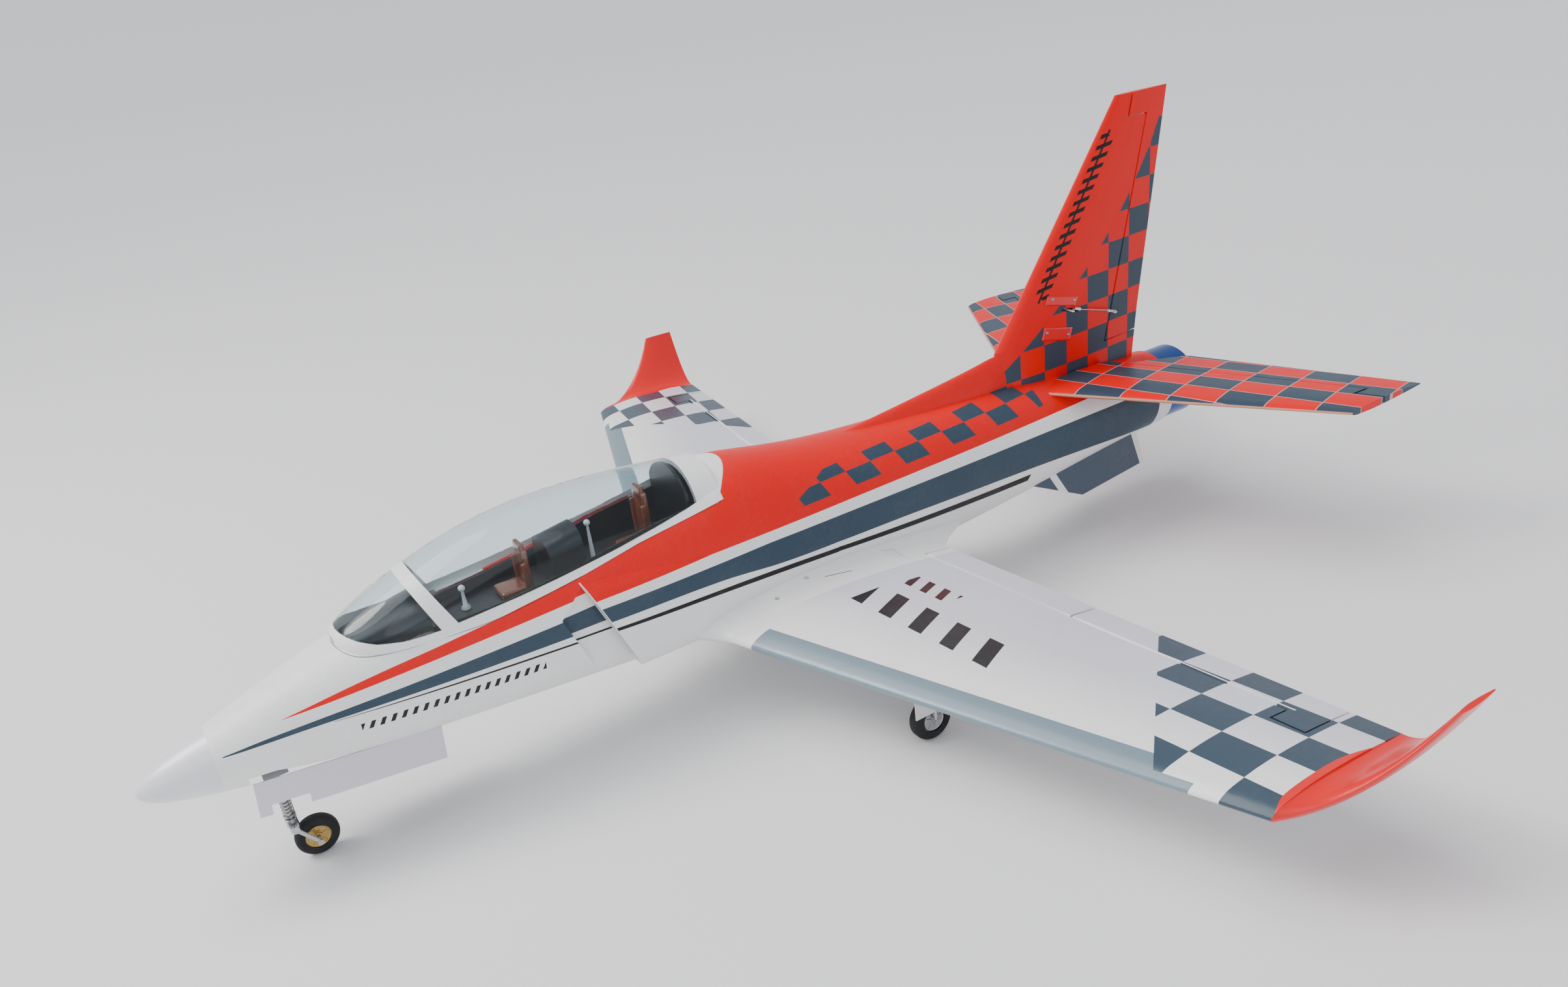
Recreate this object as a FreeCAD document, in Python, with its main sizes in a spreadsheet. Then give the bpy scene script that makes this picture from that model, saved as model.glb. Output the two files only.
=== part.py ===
"""Foam electric jet model: hollow airframe, ducted fan, hinged surfaces, linkages and folding gear.

Frame: +X port wing, +Y tail, +Z up. The wheels stand on Z = 0 and Y = 0 is half-way along the model.
Stations along the fuselage are measured from the nose tip.
"""
import FreeCAD
import Part
import math
import os
import Sketcher

from FreeCAD import Placement, Rotation, Vector

doc = FreeCAD.newDocument("rc_jet_plane")
dims = doc.addObject("Spreadsheet::Sheet", "dims")

DRIVING = {
    "overall_length": 1450,
    "nose_cone_length": 72,
    "front_joint_station": 640,
    "nozzle_start": 1349,
    "nozzle_end": 1400,
    "foam_wall": 9,
    "half_span": 725,
    "wing_root_x": 105,
    "wing_root_nose": 586,
    "wing_root_tail": 895.5,
    "wing_root_height": 111,
    "wing_tip_x": 655,
    "wing_tip_nose": 778.7,
    "wing_tip_tail": 953.5,
    "wing_tip_height": 115.5,
    "wing_thickness_ratio": 0.11,
    "surface_chord": 42,
    "hinge_gap": 0.5,
    "duct_axis_height": 160,
    "fan_radius": 45,
    "fan_clearance": 0.6,
    "spar_radius": 5,
    "spar_bore": 3.5,
    "spar_half_length": 330,
    "spar_station": 690,
    "spar_height": 113,
    "nose_tyre_radius": 22.5,
    "nose_tyre_width": 14,
    "nose_hub_radius": 13,
    "main_tyre_radius": 25,
    "main_tyre_width": 16,
    "main_hub_radius": 14,
    "tyre_rounding": 5.5,
    "axle_radius": 1.5,
    "running_clearance": 0.05,
    "main_wheel_x": 263,
    "main_pivot_x": 273.5,
    "main_pivot_height": 105,
    "main_wheel_station": 734,
    "nose_pivot_station": 118,
    "nose_pivot_height": 118,
    "nose_wheel_station": 136.5,
    "leg_radius": 2.4,
    "battery_length": 158,
    "battery_width": 48,
    "battery_height": 48,
    "controller_length": 78,
    "controller_width": 40,
    "controller_height": 16,
    "receiver_length": 44,
    "receiver_width": 26,
    "receiver_height": 13,
    "servo_length": 23,
    "servo_height": 22,
    "servo_thickness": 8,
    "arm_length": 15,
    "arm_thickness": 1.6,
    "arm_width": 5,
    "rod_radius": 0.75,
    "door_thickness": 1.8,
    "nose_door_length": 184,
    "nose_door_depth": 35,
    "canopy_thickness": 1.2,
    "screw_radius": 1.5,
    "screw_head_radius": 3,
}
for row, (alias, value) in enumerate(DRIVING.items(), start=1):
    dims.set("A%d" % row, alias)
    dims.set("B%d" % row, str(value))
    dims.setAlias("B%d" % row, alias)
doc.recompute()


class Size:
    """Reads a driving dimension from the spreadsheet by its alias."""

    def __getattr__(self, alias):
        value = dims.get(alias)
        return float(getattr(value, "Value", value))


size = Size()
MIDDLE = size.overall_length / 2
SIDES = {"left": 1, "right": -1}
ACROSS = Rotation(Vector(0, 0, 1), Vector(1, 0, 0))
ALONG = Rotation(Vector(0, 0, 1), Vector(0, 1, 0))


def at(x, station, height):
    """Turns a place given by station into a point of the model's frame."""
    return Vector(x, station - MIDDLE, height)


# ---------------------------------------------------------------- document objects


def feature(label, shape):
    """A sub-part, or a tool, whose shape comes from Part's own functions."""
    item = doc.addObject("Part::Feature", label)
    item.Shape = shape
    item.Placement = Placement()
    return item


def bind(item, **expressions):
    """Binds an object's properties to spreadsheet expressions."""
    for name, expression in expressions.items():
        item.setExpression(name, expression)
    return item


def cylinder(label, radius, height, base, turn=Rotation()):
    """A cylinder standing on base along its turned Z axis, with bound radius and height."""
    item = doc.addObject("Part::Cylinder", label)
    item.Placement = Placement(base, turn)
    return bind(item, Radius=radius, Height=height)


def block(label, length, width, height, centre, turn=Rotation()):
    """A box with bound sides, centred on a point."""
    item = doc.addObject("Part::Box", label)
    bind(item, Length=length, Width=width, Height=height)
    doc.recompute()
    half = Vector(item.Length.Value / 2, item.Width.Value / 2, item.Height.Value / 2)
    item.Placement = Placement(centre - turn.multVec(half), turn)
    return item


def cut(label, base, tool):
    item = doc.addObject("Part::Cut", label)
    item.Base = base
    item.Tool = tool
    return item


def fuse(label, items):
    item = doc.addObject("Part::MultiFuse", label)
    item.Shapes = items
    return item


def group(label, items):
    """Several separate solids kept as one sub-part."""
    item = doc.addObject("Part::Compound", label)
    item.Links = items
    return item


def ring_body(label, inner, outer, width, centre, turn, rounding=None):
    """A turned ring: a rectangle revolved round the body's Z axis, its outer rims rounded."""
    body = doc.addObject("PartDesign::Body", label)
    sketch = body.newObject("Sketcher::SketchObject", label + "_profile")
    plane = [p for p in body.Origin.OriginFeatures if p.Role == "XZ_Plane"][0]
    sketch.AttachmentSupport = [(plane, "")]
    sketch.MapMode = "FlatFace"
    corners = [Vector(1, -1, 0), Vector(2, -1, 0), Vector(2, 1, 0), Vector(1, 1, 0)]
    for index, corner in enumerate(corners):
        sketch.addGeometry(Part.LineSegment(corner, corners[(index + 1) % 4]), False)
    for index in range(4):
        sketch.addConstraint(Sketcher.Constraint("Coincident", index, 2, (index + 1) % 4, 1))
    for kind, index in (("Horizontal", 0), ("Vertical", 1), ("Horizontal", 2), ("Vertical", 3)):
        sketch.addConstraint(Sketcher.Constraint(kind, index))
    measures = (
        ("inner", Sketcher.Constraint("DistanceX", -1, 1, 0, 1, 1), inner),
        ("outer", Sketcher.Constraint("DistanceX", -1, 1, 0, 2, 2), outer),
        ("width", Sketcher.Constraint("DistanceY", 1, 1, 1, 2, 2), width),
        ("middle", Sketcher.Constraint("DistanceY", 0, 1, -1, 1, 1), "(%s) / 2" % width),
    )
    for name, constraint, expression in measures:
        number = sketch.addConstraint(constraint)
        sketch.renameConstraint(number, name)
        sketch.setExpression("Constraints." + name, expression)
    turned = body.newObject("PartDesign::Revolution", label + "_turned")
    turned.Profile = sketch
    turned.ReferenceAxis = (sketch, ["V_Axis"])
    turned.Angle = 360
    doc.recompute()
    if rounding:
        radius = max(v.Point.x for v in turned.Shape.Vertexes)
        rims = [
            "Edge%d" % (number + 1)
            for number, edge in enumerate(turned.Shape.Edges)
            if hasattr(edge.Curve, "Radius") and abs(edge.Curve.Radius - radius) < 1e-3
        ]
        fillet = body.newObject("PartDesign::Fillet", label + "_rounded")
        fillet.Base = (turned, rims)
        fillet.setExpression("Radius", rounding)
    body.Placement = Placement(centre, turn)
    return body


# ---------------------------------------------------------------- curved outlines


AROUND = 24
SMOOTHING = 3 / (2 + math.cos(2 * math.pi / AROUND))


def oval(station, bottom, waist, top, half_width, squareness=2.3, inset=0.0, x=0.0):
    """Poles round a cross-section that is widest at the waist height, from the belly round to port."""
    points = []
    for step in range(AROUND):
        angle = -math.pi / 2 + 2 * math.pi * step / AROUND
        across, rise = math.cos(angle), math.sin(angle)
        reach = (top - waist if rise > 0 else waist - bottom) - inset
        sideways = (half_width - inset) * math.copysign(abs(across) ** (2 / squareness), across)
        upward = reach * math.copysign(abs(rise) ** (2 / squareness), rise)
        points.append(at(x + SMOOTHING * sideways, station, waist + SMOOTHING * upward))
    return points


def skin(sections):
    """A closed solid whose side is one cubic surface over rings of poles, with flat ends."""
    rings = len(sections)
    poles = [[ring[step] for ring in sections] for step in range(AROUND)]
    degree = min(3, rings - 1)
    inner_knots = rings - degree - 1
    surface = Part.BSplineSurface()
    surface.buildFromPolesMultsKnots(
        poles,
        [1] * (AROUND + 1),
        [degree + 1] + [1] * inner_knots + [degree + 1],
        list(range(AROUND + 1)),
        list(range(inner_knots + 2)),
        True,
        False,
        3,
        degree,
    )
    side = surface.toShape()
    ends = [surface.vIso(float(v)).toShape() for v in (0, inner_knots + 1)]
    caps = [Part.Face(Part.Wire(end)) for end in ends]
    shell = Part.Shell([side] + caps)
    shell.sewShape()
    solid = Part.Solid(shell)
    if solid.Volume < 0:
        solid.reverse()
    return solid


def tube_loft(rows, inset=0.0, x=0.0):
    return skin([oval(*row, inset=inset, x=x) for row in rows])


def foil(nose, tail, up, thickness, camber=0.0):
    """An aerofoil section from nose to tail, with a thin square trailing edge."""
    chord = (tail - nose).Length
    edge = 0.7
    side = []
    for step in range(10):
        u = 1 - (1 + math.cos(math.pi * step / 9)) / 2
        half = 5 * thickness * (0.2969 * math.sqrt(u) - 0.126 * u - 0.3516 * u**2 + 0.2843 * u**3 - 0.1036 * u**4)
        side.append((u, chord * half + edge * u, chord * camber * 4 * u * (1 - u)))
    line = tail - nose
    upper = [nose + line * u + up * (bend + half) for u, half, bend in reversed(side)]
    lower = [nose + line * u + up * (bend - half) for u, half, bend in side[1:]]
    curve = Part.BSplineCurve()
    curve.interpolate(upper + lower)
    back = Part.LineSegment(lower[-1], upper[0])
    return Part.Wire([curve.toShape(), back.toShape()])


def prism(outline, travel):
    """A straight solid: a closed polygon pushed along a vector."""
    return Part.Face(Part.makePolygon(outline + [outline[0]])).extrude(travel)


def strip(start, end, normal, profile):
    """A tapering bar between two points with one outline of (aft, along normal) offsets."""
    aft = Vector(0, 1, 0)
    wires = []
    for point in (start, end):
        corners = [point + aft * a + normal * n for a, n in profile]
        wires.append(Part.makePolygon(corners + [corners[0]]))
    return Part.makeLoft(wires, True, True)


def slab(x_low, x_high, station_low, station_high, low, high):
    """A plain box given by its limits."""
    corner = at(x_low, station_low, low)
    return Part.makeBox(x_high - x_low, station_high - station_low, high - low, corner)


def mirrored(shape):
    return shape.mirror(Vector(0, 0, 0), Vector(1, 0, 0))


# ---------------------------------------------------------------- fuselage

# station, bottom, waist, top, half width, squareness
BODY = [
    (72, 117, 151, 184, 33, 2.1),
    (140, 109, 160, 209, 45, 2.2),
    (214, 104, 168, 233, 54, 2.4),
    (290, 100, 172, 245, 61, 2.6),
    (360, 97, 174, 248, 65, 2.8),
    (450, 92, 178, 252, 68, 3.0),
    (540, 84, 182, 262, 70, 2.9),
    (600, 79, 184, 276, 72, 2.6),
    (640, 76, 180, 286, 73, 2.3),
    (720, 74, 172, 268, 74, 2.2),
    (800, 73, 165, 256, 73, 2.2),
    (900, 74, 162, 250, 71, 2.2),
    (1000, 80, 162, 246, 67, 2.2),
    (1066, 85, 162, 241, 63, 2.2),
    (1150, 92, 162, 233, 59, 2.1),
    (1250, 101, 161, 224, 54, 2.0),
    (1349, 108, 160, 214, 51.2, 2.0),
]
NOSE = [
    (0, 141.5, 145.5, 149.5, 4, 2.0),
    (4, 135, 145.5, 156, 11, 2.0),
    (16, 129, 146, 163, 18, 2.0),
    (40, 122, 148, 174, 26, 2.0),
    (72, 117, 151, 184, 33, 2.1),
]
# The glass bubble: station, bottom, waist, top, half width, squareness
BUBBLE = [
    (203, 221, 225, 229, 5, 2.0),
    (205, 214, 224, 235, 16, 2.0),
    (212, 204, 222, 241, 30, 2.0),
    (228, 197, 221, 250, 41, 2.0),
    (252, 192, 220, 261, 50, 2.1),
    (290, 190, 221, 276, 53.5, 2.2),
    (345, 190, 222, 295, 55, 2.2),
    (400, 192, 224, 304, 55.5, 2.2),
    (449, 195, 226, 306, 55.5, 2.2),
    (510, 199, 230, 304, 55, 2.2),
    (570, 202, 234, 297.5, 54.5, 2.2),
    (628, 205, 236, 288.5, 54, 2.2),
]
HATCH_END = 628
GLASS_END = 598
# The hatch parting line seen from the side: station, height
PARTING = [
    (190, 246), (202, 232), (216, 222), (240, 217), (290, 214.5), (331, 215.7), (370, 218), (414, 223.5),
    (455, 229), (520, 240), (628, 254),
]
# The lower edge of the glass seen from the side
GLASS_FOOT = [
    (190, 249), (211, 240), (224, 233.5), (240, 228), (266, 224), (303, 223), (318, 224.5), (387, 229),
    (466, 236), (545, 248.5), (GLASS_END, 258),
]


def above(line, lift, far=330):
    """Everything above a side-view line, as a tool."""
    outline = [at(-100, station, height + lift) for station, height in line]
    outline += [at(-100, line[-1][0], far), at(-100, line[0][0], far)]
    return prism(outline, Vector(200, 0, 0))


body_outer = tube_loft(BODY)
body_inner = tube_loft(BODY, inset=size.foam_wall)
bubble_outer = tube_loft(BUBBLE)
bubble_inner = tube_loft(BUBBLE[1:], inset=size.canopy_thickness)
hatch_space = above(PARTING, 0)
glass_space = above(GLASS_FOOT, 0)

# The ridge that rises along the spine into the fin
RIDGE = [
    (800, 200, 230, 252, 8, 2.0),
    (850, 200, 231, 257, 10, 2.0),
    (920, 200, 233, 264, 11, 2.0),
    (1000, 200, 235, 273.5, 11.5, 2.0),
    (1050, 200, 236, 280, 11, 2.0),
    (1078, 200, 236, 286, 9, 2.0),
    (1112, 200, 236, 279, 6, 2.0),
]
ridge = tube_loft(RIDGE)

# Cheek intakes, each centred SCOOP_X out from the middle
SCOOP_X = 52
SCOOP = [
    (438, 101, 160, 222, 24, 3.4),
    (500, 99, 158, 220, 27, 3.2),
    (580, 99, 158, 212, 27, 3.0),
    (680, 104, 158, 205, 25, 2.6),
    (760, 112, 158, 200, 21, 2.4),
]
# The raked front of the mouth seen from the side: station, height
MOUTH = [(400, 240), (446, 222), (497, 98), (400, 60)]
# Each air passage: how far out its middle is, then the row of its section
PASSAGE = [
    (65, (498, 108, 158, 212, 10.5, 3.0)),
    (54, (560, 114, 158, 204, 16, 2.6)),
    (41, (640, 120, 160, 200, 20, 2.3)),
    (30, (740, 120, 161, 203, 22, 2.2)),
    (22.9, (820, 115, 160, 205, 21.4, 2.1)),
]
DUCT_WALL = 1.0


def passage(inset):
    return skin([oval(*row, inset=inset, x=middle) for middle, row in PASSAGE])


passage_outer = passage(-DUCT_WALL)
duct = passage_outer.cut(passage(0))
feature("inlet_duct", Part.makeCompound([duct, mirrored(duct)]))

scoop = tube_loft(SCOOP, x=SCOOP_X)
mouth_space = prism([at(20, s, h) for s, h in MOUTH], Vector(80, 0, 0))
# The recess that the mouth makes in the body's side, seen from the side: station, height
RECESS = [(418, 190), (446, 219), (499, 219), (499, 100), (449, 108)]
RECESS_X = 60
LIP_THICKNESS = 4.5
recess = prism([at(RECESS_X, s, h) for s, h in RECESS], Vector(20, 0, 0))
mouth_pocket = tube_loft(SCOOP[:3], x=SCOOP_X, inset=LIP_THICKNESS).common(recess)
mouth_front = recess.common(mouth_space)
side_liner = slab(53, 66, 405, 500, 104, 216).common(body_outer)

# ---------------------------------------------------------------- tail surfaces (solid foam)

STAB_HEIGHT = 222
STAB_ROOT = (12.5, 1118, 1334)
STAB_TIP = (345, 1316, size.overall_length)


def stab_edge(x, which):
    """Station of the stabilizer's nose (1) or tail (2) at a place along the span."""
    share = (x - STAB_ROOT[0]) / (STAB_TIP[0] - STAB_ROOT[0])
    return STAB_ROOT[which] + share * (STAB_TIP[which] - STAB_ROOT[which])


def stab_section(x, ratio):
    nose = at(x, stab_edge(x, 1), STAB_HEIGHT)
    return foil(nose, at(x, stab_edge(x, 2), STAB_HEIGHT), Vector(0, 0, 1), ratio)


stab_solid = Part.makeLoft([stab_section(STAB_ROOT[0], 0.075), stab_section(STAB_TIP[0], 0.065)], True, True)

FIN_LEVELS = [
    (212, 1057, 1320, 0.085),
    (287, 1071, 1329.8, 0.085),
    (573, 1285.5, 1379.5, 0.08),
]
fin_wires = [
    foil(at(0, nose, level), at(0, tail, level), Vector(1, 0, 0), ratio)
    for level, nose, tail, ratio in FIN_LEVELS
]
fin_solid = Part.makeLoft(fin_wires, True, True)

# ---------------------------------------------------------------- fuselage shells

solid_body = body_outer
for side in SIDES.values():
    bulge = scoop.cut(mouth_space)
    solid_body = solid_body.fuse(bulge if side > 0 else mirrored(bulge))
solid_body = solid_body.fuse(ridge)
shell = solid_body.cut(body_inner)
for side in SIDES.values():
    shell = shell.fuse(side_liner if side > 0 else mirrored(side_liner))
    for tool in (mouth_pocket, mouth_front, passage_outer):
        shell = shell.cut(tool if side > 0 else mirrored(tool))
front_split = slab(-130, 130, size.nose_cone_length, size.front_joint_station, 40, 340)
rear_split = slab(-130, 130, size.front_joint_station, 1400, 40, 340)

NOSE_BAY = (95, 283)
BAY_HALF_WIDTH = 36.5
nose_bay = slab(-BAY_HALF_WIDTH, BAY_HALF_WIDTH, NOSE_BAY[0] - 1, NOSE_BAY[1] + 1, 60, 134)
spar_hole = Part.makeCylinder(
    size.spar_radius + size.running_clearance, 200, at(-100, size.spar_station, size.spar_height), Vector(1, 0, 0)
)
front_shell = shell.common(front_split).cut(hatch_space).cut(nose_bay)
battery_ledge = slab(-62, 62, 296, 466, 112, 116).common(body_inner)
gear_ledge = slab(-40, 40, 100, 140, 134, 138).common(body_inner)
feature("fuselage_front", front_shell.fuse(battery_ledge).fuse(gear_ledge))
rear_shell = shell.common(rear_split).cut(spar_hole).cut(stab_solid).cut(mirrored(stab_solid))
feature("fuselage_rear", rear_shell)

nose_solid = tube_loft(NOSE)
nose_core = tube_loft(NOSE[3:], inset=size.foam_wall)
feature("nose_cone", nose_solid.cut(nose_core))

# ---------------------------------------------------------------- canopy hatch

bow_outline = [at(-80, 273, 290), at(-80, 307, 208), at(-80, 326, 208), at(-80, 287, 290)]
bow_space = prism(bow_outline, Vector(160, 0, 0))
bubble_shell = bubble_outer.cut(bubble_inner).common(hatch_space)
glass = bubble_shell.common(glass_space).cut(bow_space).cut(slab(-80, 80, GLASS_END, 640, 100, 340))
feature("canopy_glass", glass)

band = body_outer.common(hatch_space).common(slab(-80, 80, 200, HATCH_END, 180, 330)).cut(bubble_outer)
lip = bubble_shell.cut(glass_space)
hood = bubble_outer.cut(tube_loft(BUBBLE[1:], inset=6)).common(hatch_space)
hood = hood.common(slab(-80, 80, GLASS_END, HATCH_END, 180, 330))
bow = bubble_shell.common(bow_space)
frame_shape = band.fuse([lip, hood, bow])
feature("canopy_frame", frame_shape)

TUB_PLAN = [(298, 31), (330, 36), (380, 40), (450, 42), (592, 42)]
TUB_FLOOR = 206.5
tub_edge = [at(w, s, TUB_FLOOR) for s, w in TUB_PLAN] + [at(-w, s, TUB_FLOOR) for s, w in reversed(TUB_PLAN)]
core_edge = [at(w - 1.5, s + 1.5 * (s < 300) - 1.5 * (s > 590), TUB_FLOOR + 1.5) for s, w in TUB_PLAN]
core_edge += [Vector(-p.x, p.y, p.z) for p in reversed(core_edge)]
rim = above(PARTING, 3)
tub = prism(tub_edge, Vector(0, 0, 80)).cut(prism(core_edge, Vector(0, 0, 90))).cut(rim)
wall_core = tube_loft(BUBBLE[1:], inset=3).common(slab(-44, 44, 588, 592, TUB_FLOOR, 330))
feature("cockpit_tub", tub.fuse(wall_core))

COCKPIT_FLOOR = TUB_FLOOR + 1.5
SEATS = [(410, COCKPIT_FLOOR, 262, 33), (554, COCKPIT_FLOOR, 279, 33)]
seats = []
for station, low, high, width in SEATS:
    radius = width / 2
    outline = Part.makeCylinder(radius, 5, at(0, station - 2.5, high - radius), Vector(0, 1, 0))
    back = slab(-radius, radius, station - 2.5, station + 2.5, low, high - radius).fuse(outline)
    cushion = slab(-radius, radius, station - 34, station - 2.5, low, low + 9)
    seats.append(back.fuse(cushion).removeSplitter())
feature("seats", Part.makeCompound(seats))

STICKS = [(341, COCKPIT_FLOOR, 236), (488, COCKPIT_FLOOR, 259)]
sticks = []
for station, low, high in STICKS:
    base = Part.makeCylinder(5, 3, at(0, station, low))
    stem = Part.makeCylinder(1.8, high - low - 3, at(0, station, low))
    ball = Part.makeSphere(3.6, at(0, station, high - 3.6))
    sticks.append(base.fuse([stem, ball]))
feature("control_sticks", Part.makeCompound(sticks))

COAMING = [
    (216, 205, 222, 231, 22, 2.0),
    (240, 200, 220, 238, 33, 2.0),
    (296, 200, 218, 248, 38, 2.2),
]
coaming = tube_loft(COAMING).common(above(PARTING, 4)).common(bubble_inner)
HOOD_WIDTH = 25
rear_hood = slab(-HOOD_WIDTH, HOOD_WIDTH, 432, 471, COCKPIT_FLOOR, 242)
rear_hood = rear_hood.fuse(tube_loft([(432, 226, 242, 256, HOOD_WIDTH, 2.4), (471, 226, 242, 263, HOOD_WIDTH, 2.4)]))
feature("instrument_hoods", Part.makeCompound([coaming, rear_hood.removeSplitter()]))

# ---------------------------------------------------------------- ducted fan and nozzle

ring_body("exhaust_nozzle", "dims.fan_radius", "dims.fan_radius + 4.5", "dims.nozzle_end - dims.nozzle_start",
          at(0, (size.nozzle_start + size.nozzle_end) / 2, size.duct_axis_height), ALONG)

FAN_FRONT = 836
HOUSING_LEAD = 14
FAN_LENGTH = 66
HUB_RADIUS = 20
AIR = 45.6
axis_point = at(0, FAN_FRONT, size.duct_axis_height)
housing_start = axis_point - Vector(0, HOUSING_LEAD, 0)
housing = Part.makeCylinder(AIR + 2, FAN_LENGTH + HOUSING_LEAD, housing_start, Vector(0, 1, 0))
housing = housing.cut(Part.makeCylinder(AIR, FAN_LENGTH + HOUSING_LEAD, housing_start, Vector(0, 1, 0)))
can_start = at(0, FAN_FRONT + 28, size.duct_axis_height)
can = Part.makeCylinder(HUB_RADIUS, 34, can_start, Vector(0, 1, 0))
can = can.cut(Part.makeCylinder(HUB_RADIUS - 1.5, 34, can_start, Vector(0, 1, 0)))
vanes = []
for number in range(6):
    vane = slab(-0.9, 0.9, FAN_FRONT + 34, FAN_FRONT + 58, size.duct_axis_height + HUB_RADIUS - 0.6,
                size.duct_axis_height + AIR + 0.6)
    vane.rotate(axis_point, Vector(0, 1, 0), 60 * number)
    vanes.append(vane)
thrust_tube = Part.makeCylinder(AIR + 1, 1349 - FAN_FRONT - FAN_LENGTH, axis_point + Vector(0, FAN_LENGTH, 0),
                                Vector(0, 1, 0))
thrust_tube = thrust_tube.cut(Part.makeCylinder(AIR, 600, axis_point + Vector(0, FAN_LENGTH, 0), Vector(0, 1, 0)))
feature("fan_housing", housing.fuse([can] + vanes + [thrust_tube.common(body_inner)]))

cylinder("motor_can", "17.5", "30", can_start + Vector(0, 1, 0), ALONG)
cylinder("motor_shaft", "2.5", "26", can_start + Vector(0, -24, 0), ALONG)
fuse("fan_motor", [doc.motor_can, doc.motor_shaft])

spinner = Part.makeCone(6, 19.5, 16, at(0, FAN_FRONT - 12, size.duct_axis_height), Vector(0, 1, 0))
rotor = spinner.fuse(Part.makeCylinder(19.5, 20, at(0, FAN_FRONT + 4, size.duct_axis_height), Vector(0, 1, 0)))
BLADES = 12
for number in range(BLADES):
    root_wire = Part.makePolygon([Vector(-9, -7, 18), Vector(9, 7, 18), Vector(9.6, 5.4, 18), Vector(-8.4, -8, 18),
                                  Vector(-9, -7, 18)])
    tip = size.fan_radius
    tip_wire = Part.makePolygon([Vector(-11, -4, tip), Vector(11, 4, tip), Vector(11.3, 3, tip),
                                 Vector(-10.7, -5, tip), Vector(-11, -4, tip)])
    blade = Part.makeLoft([root_wire, tip_wire], True, True)
    blade.translate(at(0, FAN_FRONT + 14, size.duct_axis_height))
    blade.rotate(axis_point, Vector(0, 1, 0), 360 / BLADES * number)
    rotor = rotor.fuse(blade)
shaft_bore = Part.makeCylinder(2.55, 40, at(0, FAN_FRONT, size.duct_axis_height), Vector(0, 1, 0))
swept = Part.makeCylinder(size.fan_radius, 60, at(0, FAN_FRONT - 20, size.duct_axis_height), Vector(0, 1, 0))
feature("fan_rotor", rotor.common(swept).cut(shaft_bore))

# ---------------------------------------------------------------- wing

SPAN_STEP = size.wing_tip_x - size.wing_root_x


def along_wing(x, root, tip):
    return root + (tip - root) * (x - size.wing_root_x) / SPAN_STEP


def wing_nose(x):
    return along_wing(x, size.wing_root_nose, size.wing_tip_nose)


def wing_tail(x):
    return along_wing(x, size.wing_root_tail, size.wing_tip_tail)


def wing_height(x):
    return along_wing(x, size.wing_root_height, size.wing_tip_height)


def hinge_point(x):
    """A place on the wing's hinge line, which runs a little nearer the tail at the root."""
    chord = along_wing(x, size.surface_chord - 4, size.surface_chord)
    return at(x, wing_tail(x) - chord, wing_height(x) + 1.2)


UP = Vector(0, 0, 1)
CAMBER = 0.012


def wing_section(x, nose, tail, ratio):
    height = wing_height(x)
    return foil(at(x, nose, height), at(x, tail, height), UP, ratio, CAMBER)


def plain_section(x):
    return wing_section(x, wing_nose(x), wing_tail(x), size.wing_thickness_ratio)


ROOT_X = size.wing_root_x
FAIRING = [(54, 550, 962, 0.12), (74, 566, 932, 0.118), (90, 577, 906, 0.114)]
fairing_wires = [wing_section(*row) for row in FAIRING] + [plain_section(ROOT_X)]
wing_solid = Part.makeLoft(fairing_wires, True, False)
wing_solid = wing_solid.fuse(Part.makeLoft([plain_section(ROOT_X), plain_section(size.wing_tip_x)], True, True))

REACH = 60
WEDGE = [(0, 0), (REACH, REACH * math.tan(math.radians(60))), (REACH, -REACH * math.tan(math.radians(60)))]


def slot_profile(gap, height=40):
    return [(-gap, -height), (REACH, -height), (REACH, height), (-gap, height)]


def wing_strip(x_low, x_high, profile):
    return strip(hinge_point(x_low), hinge_point(x_high), UP, profile)


FLAP_SPAN = (108.5, 325)
AILERON_SPAN = (328, 578)
HORN_SPAN = (578, 607.5)
HORN_REACH = 21
END_GAP = 1.6

FLAP_WEDGE = [(0, 0), (REACH, REACH * math.tan(math.radians(60))), (REACH, -REACH * math.tan(math.radians(44)))]
flap = wing_solid.common(wing_strip(*FLAP_SPAN, FLAP_WEDGE))
aileron = wing_solid.common(
    wing_strip(*AILERON_SPAN, WEDGE).fuse(wing_strip(HORN_SPAN[0] - 2, HORN_SPAN[1], slot_profile(HORN_REACH)))
)
wing = wing_solid
wing = wing.cut(wing_strip(FLAP_SPAN[0] - END_GAP, HORN_SPAN[1] + END_GAP, slot_profile(size.hinge_gap)))
wing = wing.cut(wing_strip(HORN_SPAN[0] - 2 - END_GAP, HORN_SPAN[1] + END_GAP, slot_profile(HORN_REACH + 2.5)))

# Wheel well, leg channel, door recess and retract pocket, all open to the lower surface
PIVOT = at(size.main_pivot_x, size.main_wheel_station, size.main_pivot_height)
LEG = size.main_pivot_height - size.main_tyre_radius
FOLDED_X = size.main_pivot_x - LEG
WELL_TOP = 127
station = size.main_wheel_station
wells = [
    Part.makeCylinder(size.main_tyre_radius + 2.5, WELL_TOP - 60, at(FOLDED_X, station, 60)),
    slab(FOLDED_X, size.main_pivot_x + 4, station - 7, station + 7, 60, size.main_pivot_height + 5.5),
    slab(size.main_pivot_x - 66, size.main_pivot_x - 3, station - 31, station + 31, 60, 103),
    slab(size.main_pivot_x - 12.5, size.main_pivot_x + 12.5, station - 19, station + 19, 60, 121),
]
for well in wells:
    wing = wing.cut(well)
wing = wing.cut(Part.makeCylinder(size.spar_radius + size.running_clearance, size.spar_half_length,
                                  at(0, size.spar_station, size.spar_height), Vector(1, 0, 0)))

# ---------------------------------------------------------------- linkages


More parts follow.
